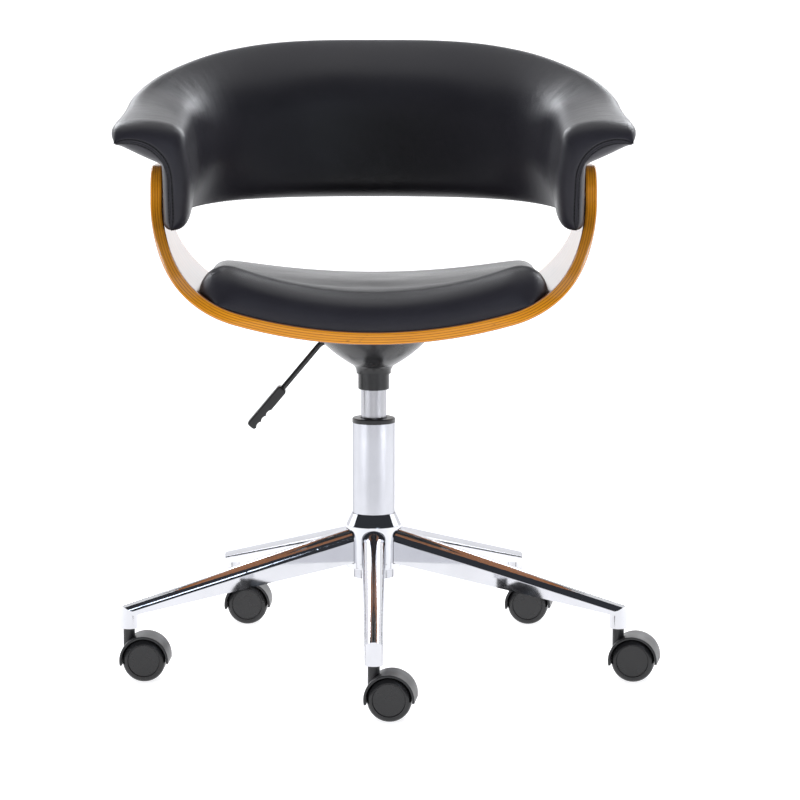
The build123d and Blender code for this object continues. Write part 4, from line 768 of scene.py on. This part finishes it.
def cover_grid(front, body_count, col_count, coarse):
    """The cover's points with its row and column places, its distance from the seam, and its middle line."""
    body = np.linspace(-arm_len, arm_len, body_count)
    depth = front_deep if front else back_deep
    left, gap = nose_steps(depth)
    keep_stitch = left[-1 - stitch_at]
    if coarse:
        pick = [0, 3, 6, 9, 12, 17, len(left) - 1]
        left, gap = left[pick], gap[pick]
    on = (1 - left**nose_power) ** (1 / nose_power)
    s = np.concatenate([-(arm_len + nose * on[:0:-1]), body, arm_len + nose * on[1:]])
    keep = np.concatenate([left[:0:-1], np.ones(body_count), left[1:]])[:, None]
    row_place = np.concatenate([-(arm_len + gap[0] - gap[:0:-1]), body, arm_len + gap[0] - gap[1:]])
    from_end = np.abs(row_place[-1]) - np.abs(row_place)
    skin, middle, girth = outlines(s, front)
    if coarse:
        share = np.broadcast_to(np.linspace(0, 1, col_count), (len(s), col_count))
    else:
        inner = np.linspace(edge_steps[-1] / girth, 1 - edge_steps[-1] / girth, col_count, axis=1)[:, 1:-1]
        edge = edge_steps / girth[:, None]
        share = np.concatenate([edge, inner, 1 - edge[:, ::-1]], axis=1)
    even = np.linspace(0, 1, skin.shape[1])
    flat = np.stack([[np.interp(q, even, f[:, k]) for q, f in zip(share, skin)] for k in range(2)], axis=-1)
    core = np.stack([[np.interp(q, even, f[:, k]) for q, f in zip(share, middle)] for k in range(2)], axis=-1)
    # Rows near the end seam keep their distance from it, rows further off open out to the full section
    deep = np.linalg.norm(flat - core, axis=-1)
    opened = np.clip((keep - keep_stitch) / (1 - keep_stitch), 0, 1) ** opening_power
    wide = np.maximum(deep - depth, 0)
    keep = (keep * np.minimum(deep, depth) + opened * wide) / np.maximum(deep, 1e-9)
    late = nose * (1 - keep**nose_power) ** (1 / nose_power) - np.maximum(np.abs(s) - arm_len, 0)[:, None]
    late = late * (np.abs(s) > arm_len)[:, None]
    flat = core + (flat - core) * keep[..., None]
    x, y, out_x, out_y = (v[:, None] for v in plan(s))
    points = np.stack([x + out_x * flat[..., 0], y - late + out_y * flat[..., 0], flat[..., 1]], axis=-1)
    inside = np.stack([x + out_x * core[..., 0], y - late + out_y * core[..., 0], core[..., 1]], axis=-1)
    along_edge = np.minimum(share, 1 - share) * girth[:, None]
    apart = np.minimum(along_edge, from_end[:, None])
    return points, row_place, share, apart, inside, s, girth


def cover(name, front, most):
    """One finished cover: swollen, tucked into its seam and grooved under its stitches."""
    points, row_place, share, apart, inside, s, girth = cover_grid(front, fine_rows, fine_cols, False)
    facing = np.where((normals_of(points) * (points - inside)).sum(-1).mean() > 0, 1.0, -1.0)
    trial = cover_grid(front, coarse_rows, coarse_cols, True)
    rough, rough_rows, rough_share, _, _, rough_s, _ = trial
    turned = rough if facing > 0 else rough[:, ::-1]
    held = np.zeros(rough.shape[:2], bool)
    held[[0, -1]] = held[:, [0, -1]] = True
    move = swollen(turned, held, cover_pressure, most(rough_s)[:, None])
    move = move if facing > 0 else move[:, ::-1]
    points = points + spread(move, rough_rows, rough_share[0], row_place, share)
    normal = normals_of(points) * facing
    groove = bell(apart, edge_steps[stitch_at], groove_half)
    tuck = seam_tuck * bell(apart, 0.0, seam_half) + groove_tuck * groove
    points = points - normal * tuck[..., None]
    lining = inside + (points - inside) * lining_share
    ring = np.concatenate([points, lining[:, ::-1]], axis=1)
    cells = cells_of(len(ring), ring.shape[1], ring=True)
    chart = pair(np.broadcast_to(row_place[:, None], share.shape), share * girth[:, None])
    chart = np.concatenate([chart, chart[:, ::-1]], axis=1)
    piece = make_piece(name, ring, cells if facing > 0 else cells[:, ::-1], cover_leather, chart)
    run = np.abs(s)[:, None]
    gather = ramp(run, back_len * 0.75, back_len + bend_len * 0.6) * ramp(share, 0.42, 0.62)
    gather = gather * ramp(apart, 0.004, 0.02)
    # The groove's mask goes to the leather as painted shade in the stitch grooves.
    for label, value in (("gather", gather), ("stitch_groove_shade", groove)):
        value = np.concatenate([value, 0 * value], axis=1).astype(np.float32)
        piece.data.attributes.new(label, "FLOAT", "POINT").data.foreach_set("value", value.ravel())
    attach(piece, "seat")
    print(name, "points", ring.shape[0] * ring.shape[1], "length", round(float(row_place[-1] * 2), 2))
    return piece, points, normal


def front_room(s):
    """How far the front cover may swell: the same all along."""
    return 0.004 + 0 * s


def back_room(s):
    """How far the back cover may swell: nothing along the arms, where the plywood stands beside it."""
    return 0.006 * (1 - ramp(np.abs(s), back_len * 0.6, back_len + bend_len * 0.7)) + 1e-6


front_cover, front_points, front_normal = cover("backrest_front_cover", True, front_room)
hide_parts("backrest_front_pad")
back_cover, back_points, back_normal = cover("backrest_back_cover", False, back_room)
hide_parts("backrest_back_pad")

# %% [markdown]
# ## Stitches
# A row of thread on each cover holds the seam open flat. Each stitch is a short thread that dives into the
# leather at both ends. One small tube is worked out once and then carried to every place along the
# row, turned to the row's direction and the leather's normal.

# %% Stitch rows
rings, sides = 6, 6


def thread_row(name, points, normal, pitch, length, thick, lift):
    """Short threads along a closed line: a six-sided tube whose height is lift times a half wave."""
    step = np.linalg.norm(np.diff(points, axis=0), axis=1)
    reach = np.concatenate([[0], np.cumsum(step)])
    count = int(reach[-1] / pitch)
    middle = (np.arange(count) + 0.5) * pitch
    along = np.linspace(-0.5, 0.5, rings)
    where = (middle[:, None] + along[None, :] * length).ravel()
    spot = np.stack([np.interp(where, reach, points[:, k]) for k in range(3)], axis=-1)
    out = np.stack([np.interp(where, reach, normal[:, k]) for k in range(3)], axis=-1)
    spot, out = spot.reshape(count, rings, 3), out.reshape(count, rings, 3)
    out /= np.linalg.norm(out, axis=-1, keepdims=True)
    way = np.gradient(spot, axis=1)
    way /= np.linalg.norm(way, axis=-1, keepdims=True)
    over = np.cross(way, out)
    bow = np.cos(along * pi)[None, :, None]
    centre = spot + out * (lift * (bow * 1.6 - 0.6))
    a = np.linspace(0, 2 * pi, sides, endpoint=False)[None, None, :, None]
    fat = thick / 2 * (0.35 + 0.65 * bow[..., None])
    tube = centre[:, :, None] + fat * (np.cos(a) * out[:, :, None] + np.sin(a) * over[:, :, None])
    first = (np.arange(count) * rings * sides)[:, None, None]
    caps = np.array([[3, 2, 1, 0], [5, 4, 3, 0], [30, 31, 32, 33], [30, 33, 34, 35]])
    walls = (cells_of(rings, sides, ring=True)[None] + first).reshape(-1, 4)
    cells = np.concatenate([walls, (caps[None] + first).reshape(-1, 4)])
    return make_piece(name, tube, cells, thread), count


thread, tree, main = shader("seam_thread")
slanted = {"bands_direction": "DIAGONAL"}
twist = add(tree, "ShaderNodeTexWave", slanted, Vector=place_of(tree), Scale=900.0, Distortion=1.0)
strand = mixed(tree, twist.outputs[1], (0.002, 0.002, 0.0022, 1), (0.006, 0.006, 0.0065, 1))
tree.links.new(strand, main.inputs["Base Color"])
tree.links.new(bump(tree, twist.outputs[1], 0.0001), main.inputs["Normal"])
main.inputs["Roughness"].default_value = 0.6

k, far = stitch_at, -stitch_at - 1
loop = [(slice(k, far), k), (far, slice(k, far)), (slice(far, k, -1), far), (k, slice(far, k - 1, -1))]
rows_of_thread = (("front_stitches", front_points, front_normal), ("back_stitches", back_points, back_normal))
for name, points, normal in rows_of_thread:
    line = np.concatenate([points[i] for i in loop])
    facing = np.concatenate([normal[i] for i in loop])
    row, count = thread_row(name, line, facing, pitch=0.0042, length=0.0034, thick=0.0009, lift=0.00035)
    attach(row, "seat")
    print(name, "stitches", count)

# %% [markdown]
# ## Seat cushion
# The cushion lies in the bent plywood: its underside follows the wood, its top is a shallow dish with
# rolled ends, and its front is a firm roll behind which the foam dips where people sit. Sections
# across the seat are carried from front to back in the seat's own tilted frame, then swollen as cloth
# with the underside held.

# %% Cushion surface
seat_half, crest_x, front_y, rear_y = 0.198, 0.160, -0.209, 0.181
thick_middle, thick_side = 0.0455, 0.0495
front_roll, rear_roll, roll_power = 0.042, 0.032, 2.3
# The ends round in seen from above, the sides draw in to a waist, and the foam settles behind the front
front_in, rear_in, end_lead, end_soft = 0.020, 0.022, 0.006, 0.045
waist_in, waist_y, waist_half = 0.003, -0.01, 0.11
settle_from, settle_run, settle_power, crest_out, side_sink = 0.045, 0.07, 1.5, 0.11, 0.38
dip_deep, sit_y, sit_half, brim_y, brim_half, side_dip = 0.005, 0.105, 0.05, 0.03, 0.03, 0.7
cushion_rows, cushion_tops, cushion_unders, top_passes = 120, 120, 24, 10
seat_pressure, seat_swell = 4.0, 0.003
under_gap = ply + 0.0003


def hoop_inside(x, inset):
    """Height of the hoop's profile at x, moved inward: the bottom arc, then the corner arc."""
    x = np.abs(x)
    low = bottom_r - np.sqrt((bottom_r - inset) ** 2 - np.minimum(x, (bottom_r - inset) * sin(turn)) ** 2)
    side = corner_z - np.sqrt(np.maximum((corner_r - inset) ** 2 - np.maximum(x - corner_x, 0) ** 2, 0))
    return np.where(x <= (bottom_r - inset) * sin(turn), low, side)


def cushion_grid(row_count, top_count, under_count):
    """Closed sections from front to back: the top from left to right, then back along the underside."""
    a = np.linspace(0, pi / 2, row_count // 3)
    roll_y, roll_fill = 1 - np.cos(a) ** (2 / roll_power), np.sin(a) ** (2 / roll_power)
    flat_y = np.linspace(front_y + front_roll, rear_y - rear_roll, row_count - 2 * len(a) + 2)[1:-1]
    y = np.concatenate([front_y + front_roll * roll_y, flat_y, rear_y - rear_roll * roll_y[::-1]])
    fill = np.concatenate([roll_fill, np.ones(len(flat_y)), roll_fill[::-1]])
    in_front, behind = y - front_y, rear_y - y
    plan_in = front_in * (1 - ramp(in_front, -end_lead, end_soft)) ** 2
    plan_in = plan_in + rear_in * (1 - ramp(behind, -end_lead, end_soft)) ** 2
    waist = waist_in * bell(y, waist_y, waist_half)
    reach = seat_half - plan_in - waist
    settle = 1 - np.exp(-((np.maximum(in_front - settle_from, 0) / settle_run) ** settle_power))
    crest = crest_x * (1 + crest_out * settle) - plan_in - waist
    dip = -dip_deep * bell(y, front_y + sit_y, sit_half) - dip_deep * bell(y, front_y + brim_y, brim_half)
    floor_z = hoop_inside(0.0, under_gap) + 0 * y
    middle = floor_z + (thick_middle + dip) * fill
    side_thick = thick_side * (1 - side_sink * settle) + side_dip * dip
    shoulder = hoop_inside(crest, under_gap) + side_thick * fill
    rise = 2 * np.arctan2(shoulder - middle, crest)
    foot = hoop_inside(reach, under_gap)
    dish = arc_through(pair(-crest, shoulder), pair(0 * y, middle), pair(crest, shoulder), 60)
    right = arc_leaving(pair(crest, shoulder), pair(np.cos(rise), np.sin(rise)), pair(reach, foot), 40)
    left = right[:, ::-1] * np.array([-1.0, 1.0])
    top = np.concatenate([left[:, :-1], dish, right[:, 1:]], axis=1)
    top, _ = evened(top, np.linspace(0, 1, outline_points))
    top, _ = evened(relaxed(top, top_passes), np.linspace(0, 1, top_count))
    under_x = np.linspace(1, -1, under_count + 2)[None, 1:-1] * reach[:, None]
    under = pair(under_x, hoop_inside(under_x, under_gap))
    loop = np.concatenate([top, under], axis=1)
    y = np.broadcast_to(y[:, None], loop.shape[:2])
    world_y = y * cos(seat_tilt) + loop[..., 1] * sin(seat_tilt)
    world_z = seat_z - y * sin(seat_tilt) + loop[..., 1] * cos(seat_tilt)
    return np.stack([loop[..., 0], world_y, world_z], axis=-1)


cushion = cushion_grid(cushion_rows, cushion_tops, cushion_unders)
rough = cushion[::2, :cushion_tops:2].copy()
held = np.zeros(rough.shape[:2], bool)
held[[0, -1]] = held[:, [0, -1]] = True
move = swollen(rough[:, ::-1], held, seat_pressure, seat_swell)[:, ::-1]
print("cushion swells by up to", round(float(np.linalg.norm(move, axis=-1).max()), 4))
all_rows, all_cols = np.arange(float(cushion_rows)), np.arange(float(cushion_tops))
cushion[:, :cushion_tops] += spread(move, all_rows[::2], all_cols[::2], all_rows, all_cols[None])
cushion_cells = cells_of(*cushion.shape[:2], ring=True)[:, ::-1]
seat = make_piece("seat_cushion_cover", cushion, cushion_cells, seat_leather)
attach(seat, "seat")
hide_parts("seat_cushion")
print("cushion top", round(float(cushion[..., 2].max()), 4))
